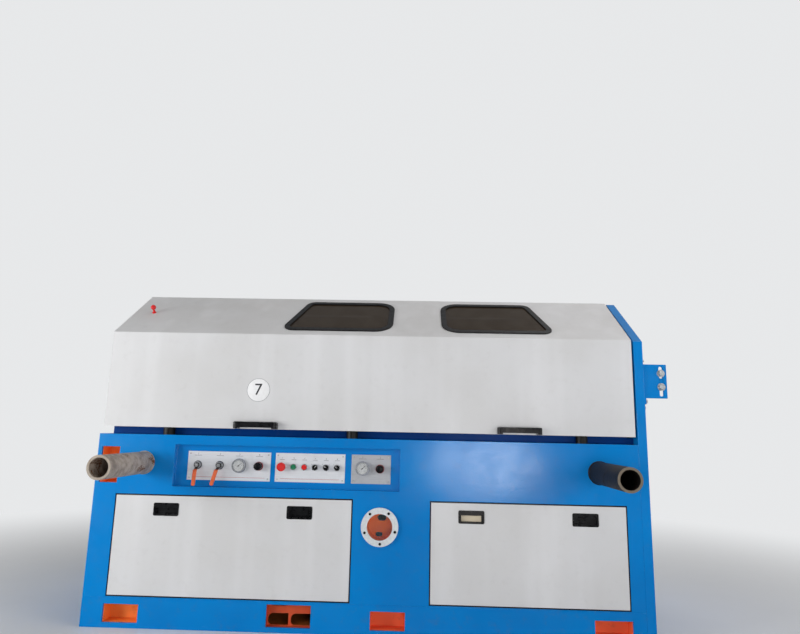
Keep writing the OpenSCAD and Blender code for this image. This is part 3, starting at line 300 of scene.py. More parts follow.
looks = {
    "blue_paint": paint("blue_enamel", srgb(0, 131, 210), srgb(0, 111, 188), srgb(70, 156, 220),
                        0.18, dirt=0.22, peel=4.0, grain=110, shine=0.34),
    # A darker copy of the blue enamel: its extra darkness is painted shade for the gap under the
    # hood
    "dark_blue_paint": paint("blue_enamel_darkened_as_shade", srgb(0, 60, 134), srgb(0, 47, 110),
                             srgb(60, 116, 176), 0.34, shine=0.06),
    "grey_paint": paint("light_grey_enamel", srgb(214, 215, 217), srgb(203, 203, 203),
                        srgb(232, 233, 236), 0.40, dirt=0.16, floor_dirt=0.2, streaks=0.35),
    # The orange primer's own colour, made paler as painted light so that the pockets read as lit
    "orange_paint": paint("orange_primer_lifted_as_light", srgb(255, 150, 72), srgb(250, 130, 58),
                          srgb(255, 184, 130), 0.52, dirt=0.4),
    "black_plastic": plastic("black_moulding", srgb(16, 17, 20), srgb(66, 67, 73), 0.30),
    "panel_metal": metal("satin_aluminium", srgb(232, 235, 240), srgb(220, 223, 229), 0.42,
                         brushed=(0.12, 1, 9), metallic=0.15, grime=0.10),
    "bright_steel": metal("turned_steel", srgb(226, 229, 233), srgb(192, 196, 202), 0.28,
                          brushed=(1, 14, 1), metallic=0.75, grime=0.12),
    "cast_grey": paint("cast_grey_enamel", srgb(98, 106, 112), srgb(82, 90, 96),
                       srgb(150, 156, 160), 0.5, peel=3.0),
    "die_brass": metal("die_brass", srgb(196, 154, 82), srgb(160, 118, 58), 0.30),
    "tank_steel": metal("tank_steel", srgb(156, 160, 164), srgb(128, 132, 136), 0.42,
                        brushed=(0.1, 4, 4), metallic=0.6, grime=0.6),
    "grey_tube": rusty_tube("weathered_pipe", srgb(176, 164, 152), srgb(136, 125, 115),
                            srgb(122, 78, 48), srgb(84, 56, 40), rusted=0.07,
                            rim=srgb(170, 160, 148), rim_w=0.0015),
    "brown_tube": rusty_tube("dark_pipe", srgb(36, 32, 31), srgb(24, 22, 22),
                             srgb(66, 46, 37), srgb(38, 28, 24), rusted=0.01,
                             rim=srgb(128, 118, 104), rim_w=0.0005),
    "rubber_black": plastic("black_rubber", srgb(15, 15, 17), srgb(48, 47, 49), 0.45, grain=320),
    "tinted_glass": glass("tinted_glass", srgb(56, 44, 30), alpha=0.88, smeared=0.05,
                          rough=0.12, shine=0.25),
    "clear_glass": glass("clear_glass", srgb(120, 132, 134), alpha=0.08, smeared=0.30),
    "red_plastic": plastic("red_moulding", srgb(214, 40, 42), srgb(240, 120, 110), 0.28),
    "green_plastic": plastic("green_moulding", srgb(30, 122, 84), srgb(110, 180, 150), 0.28),
    "orange_vinyl": lever_look(middle("valve_hubs").z),
    "gauge_case": metal("gauge_case", srgb(120, 122, 126), srgb(82, 84, 88), 0.24),
}

# Materials of single nodes and of the pieces that are made here

chrome = metal("chrome_trim", srgb(206, 209, 214), srgb(168, 172, 178), 0.20, metallic=0.5,
               grime=0.15)
zinc = metal("zinc_bolts", srgb(206, 209, 211), srgb(172, 175, 176), 0.34, metallic=0.6,
             grime=0.2)
red_ink = printed("red_ink", srgb(176, 52, 56))
ring_metal = metal("satin_ring", srgb(226, 231, 234), srgb(210, 216, 221), 0.42,
                   metallic=0.2, grime=0.12)
# A darker copy of the buttons' red for the knob collars: its extra darkness is painted shade
collar_red_darkened_as_shade = plastic("red_moulding_darkened_as_shade", srgb(150, 24, 40), srgb(206, 92, 96), 0.34)
white_face = printed("white_face", srgb(240, 241, 243))
black_ink = printed("black_ink", srgb(34, 34, 40))
grey_ink = printed("grey_ink", srgb(150, 152, 158))
beige_plate = plastic("beige_plate", srgb(216, 204, 180), srgb(236, 228, 210), 0.5)
regulator_metal = metal("dull_aluminium", srgb(188, 191, 196), srgb(174, 177, 182), 0.46,
                        brushed=(0.12, 1, 9), metallic=0.15, grime=0.12)
# Darker copies of the orange primer for pockets 2, 3 and 4: the difference from the orange is
# painted shade where less light reaches in
pocket_primer_darkened_as_shade = paint("pocket_primer_darkened_as_shade", srgb(209, 84, 46), srgb(188, 70, 40), srgb(230, 140, 100), 0.55,
                   dirt=0.5)
pocket_primer_dulled_as_shade = paint("pocket_primer_dulled_as_shade", srgb(254, 124, 80), srgb(242, 108, 66), srgb(250, 170, 130),
                    0.55, dirt=0.45)

slot_of = {part["node"]: part["material_slot"] for part in frame["record"]["subparts"]}
special = {"regulator_panel": regulator_metal, "pressure_gauges": chrome,
           "sight_ring": ring_metal, "knob_collars": collar_red_darkened_as_shade, "pocket_2": pocket_primer_darkened_as_shade,
           "pocket_3": pocket_primer_dulled_as_shade, "pocket_4": pocket_primer_dulled_as_shade}
for name, node in NODES.items():
    for place in node.material_slots:
        place.link = "OBJECT"
        place.material = special.get(name) or looks[slot_of[name]]


# Rounded edges of CAD nodes

MERGE_DISTANCE = 1e-5
ROUNDED_FROM = math.radians(32)


def weld_group():
    """Joins the faces that the import keeps apart and shades them smooth, for the bevel."""
    group = bpy.data.node_groups.new("joined_faces", "GeometryNodeTree")
    for way in ("INPUT", "OUTPUT"):
        group.interface.new_socket("Geometry", in_out=way, socket_type="NodeSocketGeometry")
    chain = [group.nodes.new(kind) for kind in (
        "NodeGroupInput", "GeometryNodeMergeByDistance", "GeometryNodeRemoveAttribute",
        "GeometryNodeSetShadeSmooth", "NodeGroupOutput")]
    for a, b in zip(chain, chain[1:]):
        group.links.new(a.outputs[0], b.inputs["Geometry"])
    merge, remove = chain[1:3]
    merge.inputs["Distance"].default_value = MERGE_DISTANCE
    remove.inputs["Name"].default_value = "custom_normal"
    return group


def round_edges(group, width, *names):
    for name in names:
        weld = NODES[name].modifiers.new("joined", "NODES")
        weld.node_group = group
        bevel = NODES[name].modifiers.new("rounded", "BEVEL")
        bevel.width = width
        bevel.segments = 2
        bevel.limit_method = "ANGLE"
        bevel.angle_limit = ROUNDED_FROM
        bevel.harden_normals = True


joined_faces = weld_group()
round_edges(joined_faces, 0.0020, "end_wall", "gear_housing", "end_bracket", "base_plate")
round_edges(joined_faces, 0.0012, "front_sill", "front_plate", "left_door", "right_door",
            "rear_covers", "hood_handles", "control_recess", "die_stands", "bearing_housings")
round_edges(joined_faces, 0.0006, "left_door_pulls", "right_door_pulls", "valve_panel",
            "switch_panel", "regulator_panel", "hood_shell", "hood_ends", "deck")


# What the pieces are built with

# Thickness and broken edge of what is printed
PRINT_T = 0.0001
PRINT_BEVEL = 0.00003
# A numeral's height as a share of the font's size
NUMERAL_SHARE = 0.72
# Edges sharper than this are drawn sharp
SHARP_FROM = math.radians(35)


def spun(angle):
    return Matrix.Rotation(angle, 4, "Z")


def moved(x, y, z):
    return Matrix.Translation((x, y, z))


def facing(at, direction=FRONT, turn=0.0):
    """Matrix that puts a piece made along +Z at a point, its +Z along direction."""
    aimed = Vector(UP).rotation_difference(Vector(direction)).to_matrix().to_4x4()
    return Matrix.Translation(Vector(at)) @ aimed @ spun(turn)


def front_middle(node):
    """Middle of a node's front face."""
    lo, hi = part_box(node)
    return Vector(((lo.x + hi.x) / 2, lo.y, (lo.z + hi.z) / 2))


def outer_pair(node):
    """Centres of the two round pieces at the ends of a node, at its front face."""
    lo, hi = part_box(node)
    r = (hi.z - lo.z) / 2
    return [Vector((x, lo.y, (lo.z + hi.z) / 2)) for x in (lo.x + r, hi.x - r)]


def hexagon(r):
    """Radius of a hexagon of corner radius r at an angle."""
    return lambda a: r * math.cos(math.pi / 6) / math.cos((a % (math.pi / 3)) - math.pi / 6)


def cross(r):
    """Radius of a cross-shaped recess at an angle."""
    return lambda a: r * (0.34 + 0.66 * abs(math.cos(2 * a)) ** 3)


class Piece:
    """A mesh built up from lofts and blocks, which ends as one object on one body."""

    def __init__(self):
        self.bm = bmesh.new()

    def circle(self, radius, height, matrix, n):
        """Vertices round a circle, or round the shape that a function of the angle gives."""
        loop = []
        for i in range(n):
            a = 2 * math.pi * i / n
            r = radius(a) if callable(radius) else radius
            point = Vector((r * math.cos(a), r * math.sin(a), height))
            loop.append(self.bm.verts.new(matrix @ point))
        return loop

    def walls(self, loops):
        """Faces from each loop of vertices to the next."""
        for a, b in zip(loops, loops[1:]):
            for i in range(len(a)):
                j = (i + 1) % len(a)
                self.bm.faces.new((a[i], a[j], b[j], b[i]))

    def loft(self, profile, matrix, n=24):
        """Joins circles, each a radius and a height, and closes both ends."""
        loops = [self.circle(radius, height, matrix, n) for radius, height in profile]
        self.walls(loops)
        self.bm.faces.new(list(reversed(loops[0])))
        self.bm.faces.new(loops[-1])

    def disc(self, radius, top, matrix, n, lip, foot=0.0):
        """A round plate or pin; lip is how far its broken edge goes in and down."""
        inward, down = lip
        self.loft([(radius, foot), (radius, top - down), (radius - inward, top)], matrix, n)

    def ring(self, inner, outer, height, matrix, n=48, lip=0.0006):
        """A flat ring with broken edges and an open middle."""
        profile = [(inner, 0), (outer, 0), (outer, height - lip), (outer - lip, height),
                   (inner + lip, height), (inner, height - lip)]
        loops = [self.circle(r, h, matrix, n) for r, h in profile]
        self.walls(loops + loops[:1])

    def slab(self, size, matrix, bevel):
        """A block on its +Z side, with broken edges."""
        w, h, t = size
        block = matrix @ moved(0, 0, t / 2) @ Matrix.Diagonal((w, h, t, 1))
        made = bmesh.ops.create_cube(self.bm, size=1, matrix=block)
        edges = {edge for vertex in made["verts"] for edge in vertex.link_edges}
        bmesh.ops.bevel(self.bm, geom=list(edges), offset=bevel, segments=1, affect="EDGES")

    def line(self, length, width, matrix):
        """A printed line."""
        self.slab((length, width, PRINT_T), matrix, PRINT_BEVEL)

    def text(self, words, height, matrix, thickness=PRINT_T):
        """Plain numerals, centred on the matrix and facing its +Z."""
        curve = bpy.data.curves.new("numerals", "FONT")
        curve.body = words
        curve.align_x = "CENTER"
        curve.align_y = "CENTER"
        curve.size = height / NUMERAL_SHARE
        curve.extrude = thickness / 2
        curve.resolution_u = 4
        carrier = bpy.data.objects.new("numerals", curve)
        bpy.context.scene.collection.objects.link(carrier)
        bpy.context.view_layer.update()
        mesh = carrier.to_mesh()
        mesh.transform(matrix @ moved(0, 0, thickness / 2))
        self.bm.from_mesh(mesh)
        bpy.data.objects.remove(carrier)

    def done(self, name, material, body, slot):
        bmesh.ops.recalc_face_normals(self.bm, faces=self.bm.faces)
        mesh = bpy.data.meshes.new(name)
        self.bm.to_mesh(mesh)
        self.bm.free()
        mesh.polygons.foreach_set("use_smooth", [True] * len(mesh.polygons))
        mesh.set_sharp_from_angle(angle=SHARP_FROM)
        mesh.materials.append(material)
        piece = bpy.data.objects.new(name, mesh)
        bpy.context.scene.collection.objects.link(piece)
        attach(piece, body)


def hex_bolt(piece, at, direction, across, height, turn):
    """Hexagon head with a shallow dish; across is the width over the flats."""
    r = across / math.sqrt(3)
    piece.loft([(hexagon(r), 0), (hexagon(r), height * 0.82), (r * 0.80, height),
                (r * 0.5, height), (r * 0.46, height * 0.95)], facing(at, direction, turn), 36)


def pan_screw(piece, at, direction, r, turn=0.0):
    """Domed head with a cross recess."""
    h = r * 0.55
    piece.loft([(r, 0), (r, h * 0.35), (r * 0.90, h * 0.72), (r * 0.66, h),
                (cross(r * 0.52), h), (cross(r * 0.40), h * 0.35)], facing(at, direction, turn), 32)


def socket_screw(piece, at, direction, r, height):
    """Round head with a hexagon socket."""
    piece.loft([(r, 0), (r, height * 0.8), (r * 0.90, height), (hexagon(r * 0.58), height),
                (hexagon(r * 0.56), height * 0.3)], facing(at, direction), 36)


# Sight glass: five black socket screws in the ring

RING_SCREWS = 5
RING_SCREW_FIRST = 56.5
RING_SCREW_CIRCLE = 0.0725

screws = Piece()
for i in range(RING_SCREWS):
    a = math.radians(RING_SCREW_FIRST + 360 / RING_SCREWS * i)
    out = Vector((math.cos(a), 0, math.sin(a))) * RING_SCREW_CIRCLE
    socket_screw(screws, front_middle("sight_ring") + out, FRONT, r=0.0060, height=0.0022)
screws.done("sight_ring_screws", looks["black_plastic"], "body", "black_plastic")


# Gauges: chrome rim and flange, white dial with its scale, needle and glass

# How far the dial's back lies behind the front of the case
DIAL_DEPTH = 0.003
DIAL_T = 0.0005
SCALE_FROM = math.radians(225)
SCALE_SWEEP = math.radians(270)
SCALE_STEPS = 20
# Every fourth mark is long and has a numeral
NUMBERED = 4
LONG_MARK = (0.0045, 0.0007)
SHORT_MARK = (0.0026, 0.0004)
# The rim stands on the case's front, and the flange lies behind it round the case
RIM_OUT = 0.0006
RIM_T = 0.0016
FLANGE_IN = 0.0008
FLANGE_OUT = 0.0022
FLANGE_T = 0.0030
# Pane, dial, outer edge of the scale and middles of its numerals, inward from the case's edge
PANE_IN = 0.0042
DIAL_IN = 0.0041
SCALE_IN = 0.0065
NUMERALS_IN = 0.0155
GAUGE_NUMERAL = 0.0036
NEEDLE = (0.028, 0.0018, 0.0004)
NEEDLE_TURN = math.radians(42)
# The needle's middle, out from its pin and up from the dial's back
NEEDLE_OUT = 0.0060
NEEDLE_LIFT = 0.0009
# The pin's radius, and the heights of pin and pane above the dial's back
PIN_R = 0.0032
PIN_TOP = 0.0018
PANE_FOOT = 0.0022
PANE_TOP = 0.0029

rims, dials, marks, needles, panes = Piece(), Piece(), Piece(), Piece(), Piece()
gauge_lo, gauge_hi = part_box("pressure_gauges")
gauge_r = (gauge_hi.z - gauge_lo.z) / 2
pane_r = gauge_r - PANE_IN
for front in outer_pair("pressure_gauges"):
    dial = facing((front.x, front.y + DIAL_DEPTH, front.z))
    flange = facing((front.x, gauge_hi.y, front.z))
    rims.ring(pane_r, gauge_r + RIM_OUT, RIM_T, facing(front), n=64, lip=0.0007)
    rims.ring(gauge_r - FLANGE_IN, gauge_r + FLANGE_OUT, FLANGE_T, flange, n=64, lip=0.0010)
    dials.disc(gauge_r - DIAL_IN, DIAL_T, dial, n=64, lip=(0.0005, 0.0002))
    for i in range(SCALE_STEPS + 1):
        a = SCALE_FROM - SCALE_SWEEP * i / SCALE_STEPS
        numbered = i % NUMBERED == 0
        length, width = LONG_MARK if numbered else SHORT_MARK
        mark_r = gauge_r - SCALE_IN - length / 2
        marks.line(length, width, dial @ spun(a) @ moved(mark_r, 0, DIAL_T))
        if numbered:
            r = gauge_r - NUMERALS_IN
            numeral_at = moved(r * math.cos(a), r * math.sin(a), DIAL_T)
            marks.text(str(i // 2), GAUGE_NUMERAL, dial @ numeral_at)
    pin = dial @ spun(NEEDLE_TURN)
    needles.slab(NEEDLE, pin @ moved(NEEDLE_OUT, 0, NEEDLE_LIFT), bevel=0.0001)
    needles.disc(PIN_R, PIN_TOP, dial, n=24, lip=(0.0008, 0.0004), foot=DIAL_T)
    panes.disc(pane_r, PANE_TOP, dial, n=64, lip=(0.0010, 0.0002), foot=PANE_FOOT)
rims.done("gauge_rims", chrome, "body", "gauge_case")
dials.done("gauge_dials", white_face, "body", "panel_metal")
marks.done("gauge_scales", black_ink, "body", "black_plastic")
needles.done("gauge_needles", black_ink, "body", "black_plastic")
panes.done("gauge_panes", looks["clear_glass"], "body", "clear_glass")


# Valves: a black ring round each hub as painted shadow, a plated collar and the end of the stem at
# each hub

# Inner radius, outer radius and height
VALVE_SHADOW_RING = (0.0145, 0.0195, 0.0024)
VALVE_COLLAR = (0.0148, 0.0172, 0.0086)
STEM_R = 0.0042
STEM_T = 0.0020

hubs = outer_pair("valve_hubs")
panel_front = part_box("valve_panel")[0].y
collars, hub_shadow_rings = Piece(), Piece()
for hub in hubs:
    on_panel = facing((hub.x, panel_front, hub.z))
    # Black ring round the hub: a painted shadow
    hub_shadow_rings.ring(*VALVE_SHADOW_RING, on_panel, lip=0.0008)
    collars.ring(*VALVE_COLLAR, on_panel, lip=0.0012)
hub_shadow_rings.done("valve_hub_shadow_rings", looks["black_plastic"], "body", "black_plastic")
collars.done("valve_collars", chrome, "body", "bright_steel")
for number, hub in enumerate(hubs, 1):
    stem = Piece()
    stem.disc(STEM_R, STEM_T, facing(hub), n=24, lip=(0.0012, 0.0008))
    stem.done(f"valve_stem_end_{number}", zinc, "body", "bright_steel")


# Panels: corner screws, a numeral with a line below it at each control, and a red rule

PANEL_SCREW_R = 0.0036
PANEL_SCREW_INSET = 0.011
# How far a screw's head is turned, in radians per metre of its place along the machine
SCREW_TURN = 40
# A caption's line length, its drop from the panel's top and its numeral's height
WIDE_CAPTION = (0.034, 0.019, 0.0078)
NARROW_CAPTION = (0.022, 0.030, 0.0064)
LINE_W = 0.0012
NUMERAL_RISE = 0.0072
# How high the 0 and 1 beside a selector are, and their place from its middle
END_MARK = 0.0042
END_MARK_OUT = 0.0165
END_MARK_RISE = 0.0145
# The rule stops short of the panel's ends and lies above its foot
RULE_SHORT = 0.050
RULE_RISE = 0.015

SELECTORS = ("selector_1", "selector_2", "selector_3")
gauge_x = [gauge.x for gauge in outer_pair("pressure_gauges")]
knob_x = [middle(name).x for name in ("regulator_knob_1", "regulator_knob_2")]
button_x = [middle(name).x for name in ("emergency_stop", "start_button", "stop_button")]
captions = ((WIDE_CAPTION, [hub.x for hub in hubs] + [gauge_x[0], knob_x[0]]),
            (NARROW_CAPTION, button_x + [middle(name).x for name in SELECTORS]),
            (WIDE_CAPTION, [gauge_x[1], knob_x[1]]))

heads, print_lines, rules = Piece(), Piece(), Piece()
for panel in ("valve_panel", "switch_panel", "regulator_panel"):
    lo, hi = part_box(panel)
    for x in (lo.x + PANEL_SCREW_INSET, hi.x - PANEL_SCREW_INSET):
        for z in (lo.z + PANEL_SCREW_INSET, hi.z - PANEL_SCREW_INSET):
            pan_screw(heads, (x, lo.y, z), FRONT, PANEL_SCREW_R, turn=x * SCREW_TURN)
lo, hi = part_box("switch_panel")
for (length, drop, numeral), row in captions:
    for number, x in enumerate(row, 1):
        line_z = hi.z - drop
        print_lines.line(length, LINE_W, facing((x, lo.y, line_z)))
        print_lines.text(str(number), numeral, facing((x, lo.y, line_z + NUMERAL_RISE)))
for name in SELECTORS:
    at = middle(name)
    for side, mark in ((-1, "0"), (1, "1")):
        mark_at = (at.x + side * END_MARK_OUT, lo.y, at.z + END_MARK_RISE)
        print_lines.text(mark, END_MARK, facing(mark_at))
for panel in ("valve_panel", "switch_panel"):
    lo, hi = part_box(panel)
    rule_at = ((lo.x + hi.x) / 2, lo.y, lo.z + RULE_RISE)
    rules.line(hi.x - lo.x - RULE_SHORT, LINE_W, facing(rule_at))
heads.done("panel_screws", zinc, "body", "bright_steel")
print_lines.done("panel_marks", black_ink, "body", "black_plastic")
rules.done("panel_rules", red_ink, "body", "red_plastic")


# Selectors: a white index on each ridge, with its lean to the right in degrees

INDEX = (0.0018, 0.0105, 0.0005)
INDEX_OUT = 0.0055

for number, lean in ((1, 45), (2, -45), (3, -45)):
    index = Piece()
    ridge = facing(front_middle(f"selector_{number}")) @ spun(math.radians(-lean))
    index.slab(INDEX, ridge @ moved(0, INDEX_OUT, 0), bevel=0.0002)
    index.done(f"selector_index_{number}", white_face, f"turn_switch_{number}", "panel_metal")


# Regulator knobs: a low stepped cap on the front of each

# Radius and height of each edge, from the knob's front
KNOB_CAP = ((0.0125, 0), (0.0125, 0.0010), (0.0112, 0.0018), (0.0060, 0.0022))

for number in (1, 2):
    cap = Piece()
    cap.loft(KNOB_CAP, facing(front_middle(f"regulator_knob_{number}")), n=48)
    cap.done(f"knob_cap_{number}", looks["black_plastic"], f"knob_{number}", "black_plastic")


# Push buttons: a raised rim round each face

# How far in from the button's edge the rim begins, its width and its height
BUTTON_RIM_IN = 0.0002
BUTTON_RIM_W = 0.0020
BUTTON_RIM_T = 0.0010

for node, body, slot in (("start_button", "green_button", "green_plastic"),
                         ("stop_button", "red_button", "red_plastic")):
    lo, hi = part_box(node)
    rim_r = (hi.x - lo.x) / 2 - BUTTON_RIM_IN
    rim = Piece()
    rim.ring(rim_r - BUTTON_RIM_W, rim_r, BUTTON_RIM_T, facing(front_middle(node)), lip=0.0004)
    rim.done(node + "_rim", looks[slot], body, slot)


# Hood: number disc with its thin ring

DISC_X = -0.538
DISC_Z = 1.070
DISC_R = 0.055
DISC_T = 0.0004
# The ring's width, how far it reaches past the disc, and its height
OUTLINE_W = 0.0020
OUTLINE_OUT = 0.0002
OUTLINE_T = 0.0006
DISC_NUMERAL = 0.056
DISC_NUMERAL_T = 0.0003
# The numeral stands this far left of the disc's middle
NUMERAL_LEFT = 0.001

disc_at = Vector((DISC_X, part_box("hood_shell")[0].y, DISC_Z))
disc, outline, numeral = Piece(), Piece(), Piece()
disc.disc(DISC_R, DISC_T, facing(disc_at), n=96, lip=(0.0003, 0.0001))
disc.done("number_disc", white_face, "hood", "panel_metal")
outline_r = DISC_R + OUTLINE_OUT
outline.ring(outline_r - OUTLINE_W, outline_r, OUTLINE_T, facing(disc_at), n=96, lip=0.0001)
outline.done("number_disc_ring", grey_ink, "hood", "grey_paint")
numeral_at = disc_at - Vector((NUMERAL_LEFT, DISC_T, 0))
numeral.text("7", DISC_NUMERAL, facing(numeral_at), DISC_NUMERAL_T)
numeral.done("number_disc_numeral", black_ink, "hood", "black_plastic")


# Bracket: washers, hexagon bolts and their nuts in the slots, and bolts in the end wall

BRACKET_T = 0.010
BOLT_ACROSS = 0.024
BOLT_HEAD = 0.010
NUT_HEIGHT = 0.012
# The shank begins inside the front washer
SHANK_R = 0.0078
SHANK_L = 0.032
SHANK_AHEAD = 0.001
WASHER_T = 0.003
WASHER_HOLE = 0.0085
FRONT_WASHER_R = 0.0180
BACK_WASHER_R = 0.0165
# The slots' middle line, in from the bracket's outer edge
SLOT_IN = 0.027
WALL_WASHER_T = 0.0022

bolts, washers = Piece(), Piece()
lo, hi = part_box("end_bracket")
# Height and turn of each bolt
for z, turn in ((1.185, 0.2), (1.121, 0.5)):
    front = Vector((hi.x - SLOT_IN, lo.y, z))
    back = front + Vector((0, BRACKET_T, 0))
    shank = facing(front - Vector((0, SHANK_AHEAD, 0)), BACK)
    washers.ring(WASHER_HOLE, FRONT_WASHER_R, WASHER_T, facing(front), lip=0.0008)
    hex_bolt(bolts, front - Vector((0, WASHER_T, 0)), FRONT, BOLT_ACROSS, BOLT_HEAD, turn)
    bolts.disc(SHANK_R, SHANK_L, shank, n=32, lip=(0.0012, 0.002))
    washers.ring(WASHER_HOLE, BACK_WASHER_R, WASHER_T, facing(back, BACK), lip=0.0008)
    hex_bolt(bolts, back + Vector((0, WASHER_T, 0)), BACK, BOLT_ACROSS, NUT_HEIGHT, turn)
# Place and width over the flats of each bolt that points out of the end wall
wall_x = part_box("end_wall")[1].x
for x, y, z, across in ((wall_x + BRACKET_T, -0.560, 1.054, 0.019),
                        (wall_x, -0.560, 1.024, 0.019),
                        (wall_x, -0.585, 1.243, 0.010)):
    washers.ring(across * 0.30, across * 0.85, WALL_WASHER_T, facing((x, y, z), RIGHT), n=40)
    hex_bolt(bolts, (x + WALL_WASHER_T, y, z), RIGHT, across, across * 0.6, turn=0.3)
bolts.done("bracket_bolts", zinc, "body", "bright_steel")
washers.done("bracket_washers", zinc, "body", "bright_steel")


# Doors: a black strip set back in the gap round each, a dark sheet standing in for the gap's shade

DOOR_GAP = 0.006
GAP_STRIP_W = 0.0058
GAP_STRIP_T = 0.002
GAP_STRIP_BACK = 0.003

gap_shade_strips = Piece()
for door in ("left_door", "right_door"):
    lo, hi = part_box(door)
    width = hi.x - lo.x
    height = hi.z - lo.z
    centre = front_middle(door) + Vector((0, GAP_STRIP_BACK + GAP_STRIP_T, 0))
    for side in (-1, 1):
        above = centre + Vector((0, 0, side * (height + DOOR_GAP) / 2))
        beside = centre + Vector((side * (width + DOOR_GAP) / 2, 0, 0))
        gap_shade_strips.slab((width + 2 * DOOR_GAP, GAP_STRIP_W, GAP_STRIP_T), facing(above), bevel=0.0004)
        gap_shade_strips.slab((height, GAP_STRIP_W, GAP_STRIP_T), facing(beside, turn=math.pi / 2), bevel=0.0004)
# Black strips in the door gaps: painted shade
gap_shade_strips.done("door_gap_shade_strips", looks["rubber_black"], "body", "rubber_black")


# Right door: a pale plate in the first pull's cup

PULL_W = 0.118
CUP_BACK = 0.014
PULL_PLATE = (0.092, 0.026, 0.0015)
PLATE_DROP = 0.0075

pull_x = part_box("right_door_pulls")[0].x + PULL_W / 2
cup_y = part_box("right_door")[0].y + CUP_BACK
plate_at = (pull_x, cup_y, middle("right_door_pulls").z - PLATE_DROP)
plate = Piece()
plate.slab(PULL_PLATE, facing(plate_at), bevel=0.0004)
plate.done("pull_plate", beige_plate, "body", "grey_paint")


# Back: screws that hold the covers, two low ones side by side and a high one above them

LOW_TOP = 0.574
HIGH_FOOT = 0.962
# Half of the blue post between the low covers
HALF_POST = 0.055
COVER_INSET = 0.020

cover_screws = Piece()
lo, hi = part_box("rear_covers")
mid_x = (lo.x + hi.x) / 2
for x0, x1, z0, z1, across in ((lo.x, mid_x - HALF_POST, lo.z, LOW_TOP, 4),
                               (mid_x + HALF_POST, hi.x, lo.z, LOW_TOP, 4),
                               (lo.x, hi.x, HIGH_FOOT, hi.z, 8)):
    left = x0 + COVER_INSET
    right = x1 - COVER_INSET
    foot = z0 + COVER_INSET
    top = z1 - COVER_INSET
    row = [left + (right - left) * i / (across - 1) for i in range(across)]
    spots = [(x, z) for x in row for z in (foot, top)]
    spots += [(x, (foot + top) / 2) for x in (left, right)]
    for x, z in spots:
        socket_screw(cover_screws, (x, hi.y, z), BACK, r=0.006, height=0.004)
cover_screws.done("cover_screws", zinc, "body", "bright_steel")


# Hinges: three screws in each half

HINGE_W = 0.120
HINGE_SCREW_R = 0.0055
HINGE_SCREW_STEP = 0.042
HINGE_SCREW_INSET = 0.025
HINGE_T = 0.004
# The second hinge stands this far left of the middle
SECOND_LEFT = 0.0305

leaf_screws, base_screws = Piece(), Piece()
lo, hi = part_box("hinge_leaves")
base_lo, base_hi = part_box("hinge_bases")
leaf_y = lo.y + HINGE_SCREW_INSET
base_y = base_hi.y - HINGE_SCREW_INSET
for hinge_x in (lo.x + HINGE_W / 2, middle("hinge_leaves").x - SECOND_LEFT, hi.x - HINGE_W / 2):
    for step in (-1, 0, 1):
        x = hinge_x + step * HINGE_SCREW_STEP
        pan_screw(leaf_screws, (x, leaf_y, lo.z + HINGE_T), UP, HINGE_SCREW_R)
        pan_screw(base_screws, (x, base_y, base_lo.z + HINGE_T), UP, HINGE_SCREW_R)
leaf_screws.done("hinge_leaf_screws", zinc, "hood", "bright_steel")
base_screws.done("hinge_base_screws", zinc, "body", "bright_steel")


# Camera, solved from the straight edges in the photograph

CAMERA_AT = Vector((0.222, -3.5, 0.892))
YAW = math.radians(-1.84)
PITCH = math.radians(10.59)
ROLL = math.radians(1.24)
# The focal length and the photograph's width, in its pixels
FOCAL_PX = 610
PHOTO_W = 800
SENSOR_MM = 36.0

ahead = Vector((math.sin(YAW) * math.cos(PITCH), math.cos(YAW) * math.cos(PITCH),
                math.sin(PITCH)))
sideways = Vector((math.cos(YAW), -math.sin(YAW), 0))
upward = sideways.cross(ahead)
rolled_side = math.cos(ROLL) * sideways + math.sin(ROLL) * upward
rolled_up = math.cos(ROLL) * upward - math.sin(ROLL) * sideways
camera = bpy.data.objects.new("camera", bpy.data.cameras.new("camera"))
bpy.context.scene.collection.objects.link(camera)
camera.data.sensor_fit = "HORIZONTAL"
camera.data.sensor_width = SENSOR_MM
camera.data.lens = FOCAL_PX * SENSOR_MM / PHOTO_W
camera.data.clip_end = 200
aim = Matrix((rolled_side, rolled_up, -ahead)).transposed().to_4x4()
camera.matrix_world = Matrix.Translation(CAMERA_AT) @ aim
bpy.context.scene.camera = camera


# Lamps

WARM = (1.0, 0.96, 0.93)


def area_light(name, at, target, size, watts, colour, shape="RECTANGLE"):
    data = bpy.data.lights.new(name, "AREA")
    data.shape = shape
    data.size, data.size_y = size
    data.energy = watts
    data.color = colour
    lamp = bpy.data.objects.new(name, data)
    bpy.context.scene.collection.objects.link(lamp)
    aim = (Vector(target) - Vector(at)).to_track_quat("-Z", "Y").to_matrix().to_4x4()
    lamp.matrix_world = Matrix.Translation(Vector(at)) @ aim


area_light("window_light", (-3.8, -2.7, 1.2), (-0.6, 0, 0.5), size=(2.4, 1.6), watts=107,
           colour=(1.0, 0.99, 0.97))
area_light("fill_light", (4.0, -2.9, 1.5), (1.0, 0, 0.9), size=(2.6, 2.0), watts=51,
           colour=(0.97, 0.98, 1.0))
# Mirrored in the enamel above the right door
area_light("sheen_light", (0.88, -3.8, 0.60), (0.52, -0.6, 0.75), size=(1.05, 0.58), watts=17,
           colour=WARM, shape="ELLIPSE")
area_light("roof_light", (1.5, -0.8, 4.4), (0.7, -0.3, 1.5), size=(3.6, 2.4), watts=56,
           colour=WARM)
area_light("back_light", (0.6, 4.4, 2.2), (0, 0, 0.8), size=(3.5, 2.0), watts=80,
           colour=(1.0, 1.0, 1.0))


# World: a pale backdrop for the camera, soft light for the rest

BACKDROP = (0.80, 0.81, 0.82, 1.0)
SKY = (0.96, 0.98, 1.0, 1.0)
MIRRORED = (0.92, 0.96, 1.0, 1.0)
# How strongly gloss mirrors what lies low
MIRRORED_LOW = 0.07

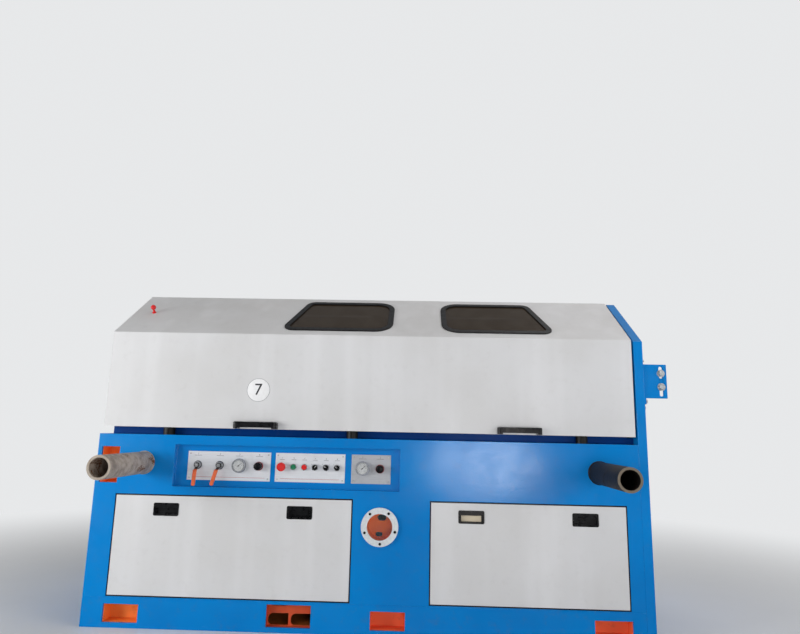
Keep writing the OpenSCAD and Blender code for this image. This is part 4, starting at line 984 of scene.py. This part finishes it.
world = bpy.data.worlds.new("studio")
bpy.context.scene.world = world
world.use_nodes = True
air = Nodes(world.node_tree)
rays = air.add("ShaderNodeLightPath").outputs
seen = air.math("MAXIMUM", rays["Is Camera Ray"], rays["Is Transmission Ray"])
direction = air.add("ShaderNodeTexCoord").outputs["Generated"]
height = air.add("ShaderNodeSeparateXYZ", {0: direction}).outputs["Z"]
# Dimmer from above than from the sides
light = air.tree.nodes["Background"]
air.put(light, {"Color": SKY, "Strength": air.ramp(height, 0.0, 0.9, 0.14, 0.07, "LINEAR")})
# What the gloss of paint and metal mirrors, paler above
mirrored = air.add("ShaderNodeBackground", {
    "Color": MIRRORED, "Strength": air.ramp(height, -0.1, 0.8, MIRRORED_LOW, 0.45, "LINEAR")})
backdrop = air.add("ShaderNodeBackground", {"Color": BACKDROP})
lit = air.choose(rays["Is Glossy Ray"], light.outputs[0], mirrored.outputs[0])
air.put(air.tree.nodes["World Output"], {"Surface": air.choose(seen, lit, backdrop.outputs[0])})


# Pale floor that fades into the backdrop some way from the machine

FLOOR_HALF = 40
FADE_FROM = 1.6
FADE_TO = 4.8

corners = [(x * FLOOR_HALF, y * FLOOR_HALF, 0) for x, y in ((-1, -1), (1, -1), (1, 1), (-1, 1))]
mesh = bpy.data.meshes.new("floor")
mesh.from_pydata(corners, [], [(0, 1, 2, 3)])
floor = bpy.data.objects.new("floor", mesh)
bpy.context.scene.collection.objects.link(floor)
look = Look("pale_floor")
distance = look.add("ShaderNodeVectorMath", {0: look.place}, operation="LENGTH").outputs["Value"]
blots = look.ramp(look.noise(1.3, detail=4), 0.3, 0.7, end=0.4)
look.set(Base_Color=look.mix(blots, (0.78, 0.79, 0.80, 1), (0.74, 0.75, 0.76, 1)),
         Roughness=look.ramp(look.noise(6, detail=4), 0.3, 0.7, 0.55, 0.7))
glow = look.add("ShaderNodeEmission", {"Color": BACKDROP, "Strength": 1.0}).outputs[0]
dim = look.add("ShaderNodeEmission", {"Color": MIRRORED, "Strength": MIRRORED_LOW}).outputs[0]
fade = look.choose(look.ramp(distance, FADE_FROM, FADE_TO), look.shader.outputs[0], glow)
glossy = look.add("ShaderNodeLightPath").outputs["Is Glossy Ray"]
look.put(look.tree.nodes["Material Output"], {"Surface": look.choose(glossy, fade, dim)})
mesh.materials.append(look.material)

bpy.context.scene.view_settings.view_transform = "Standard"
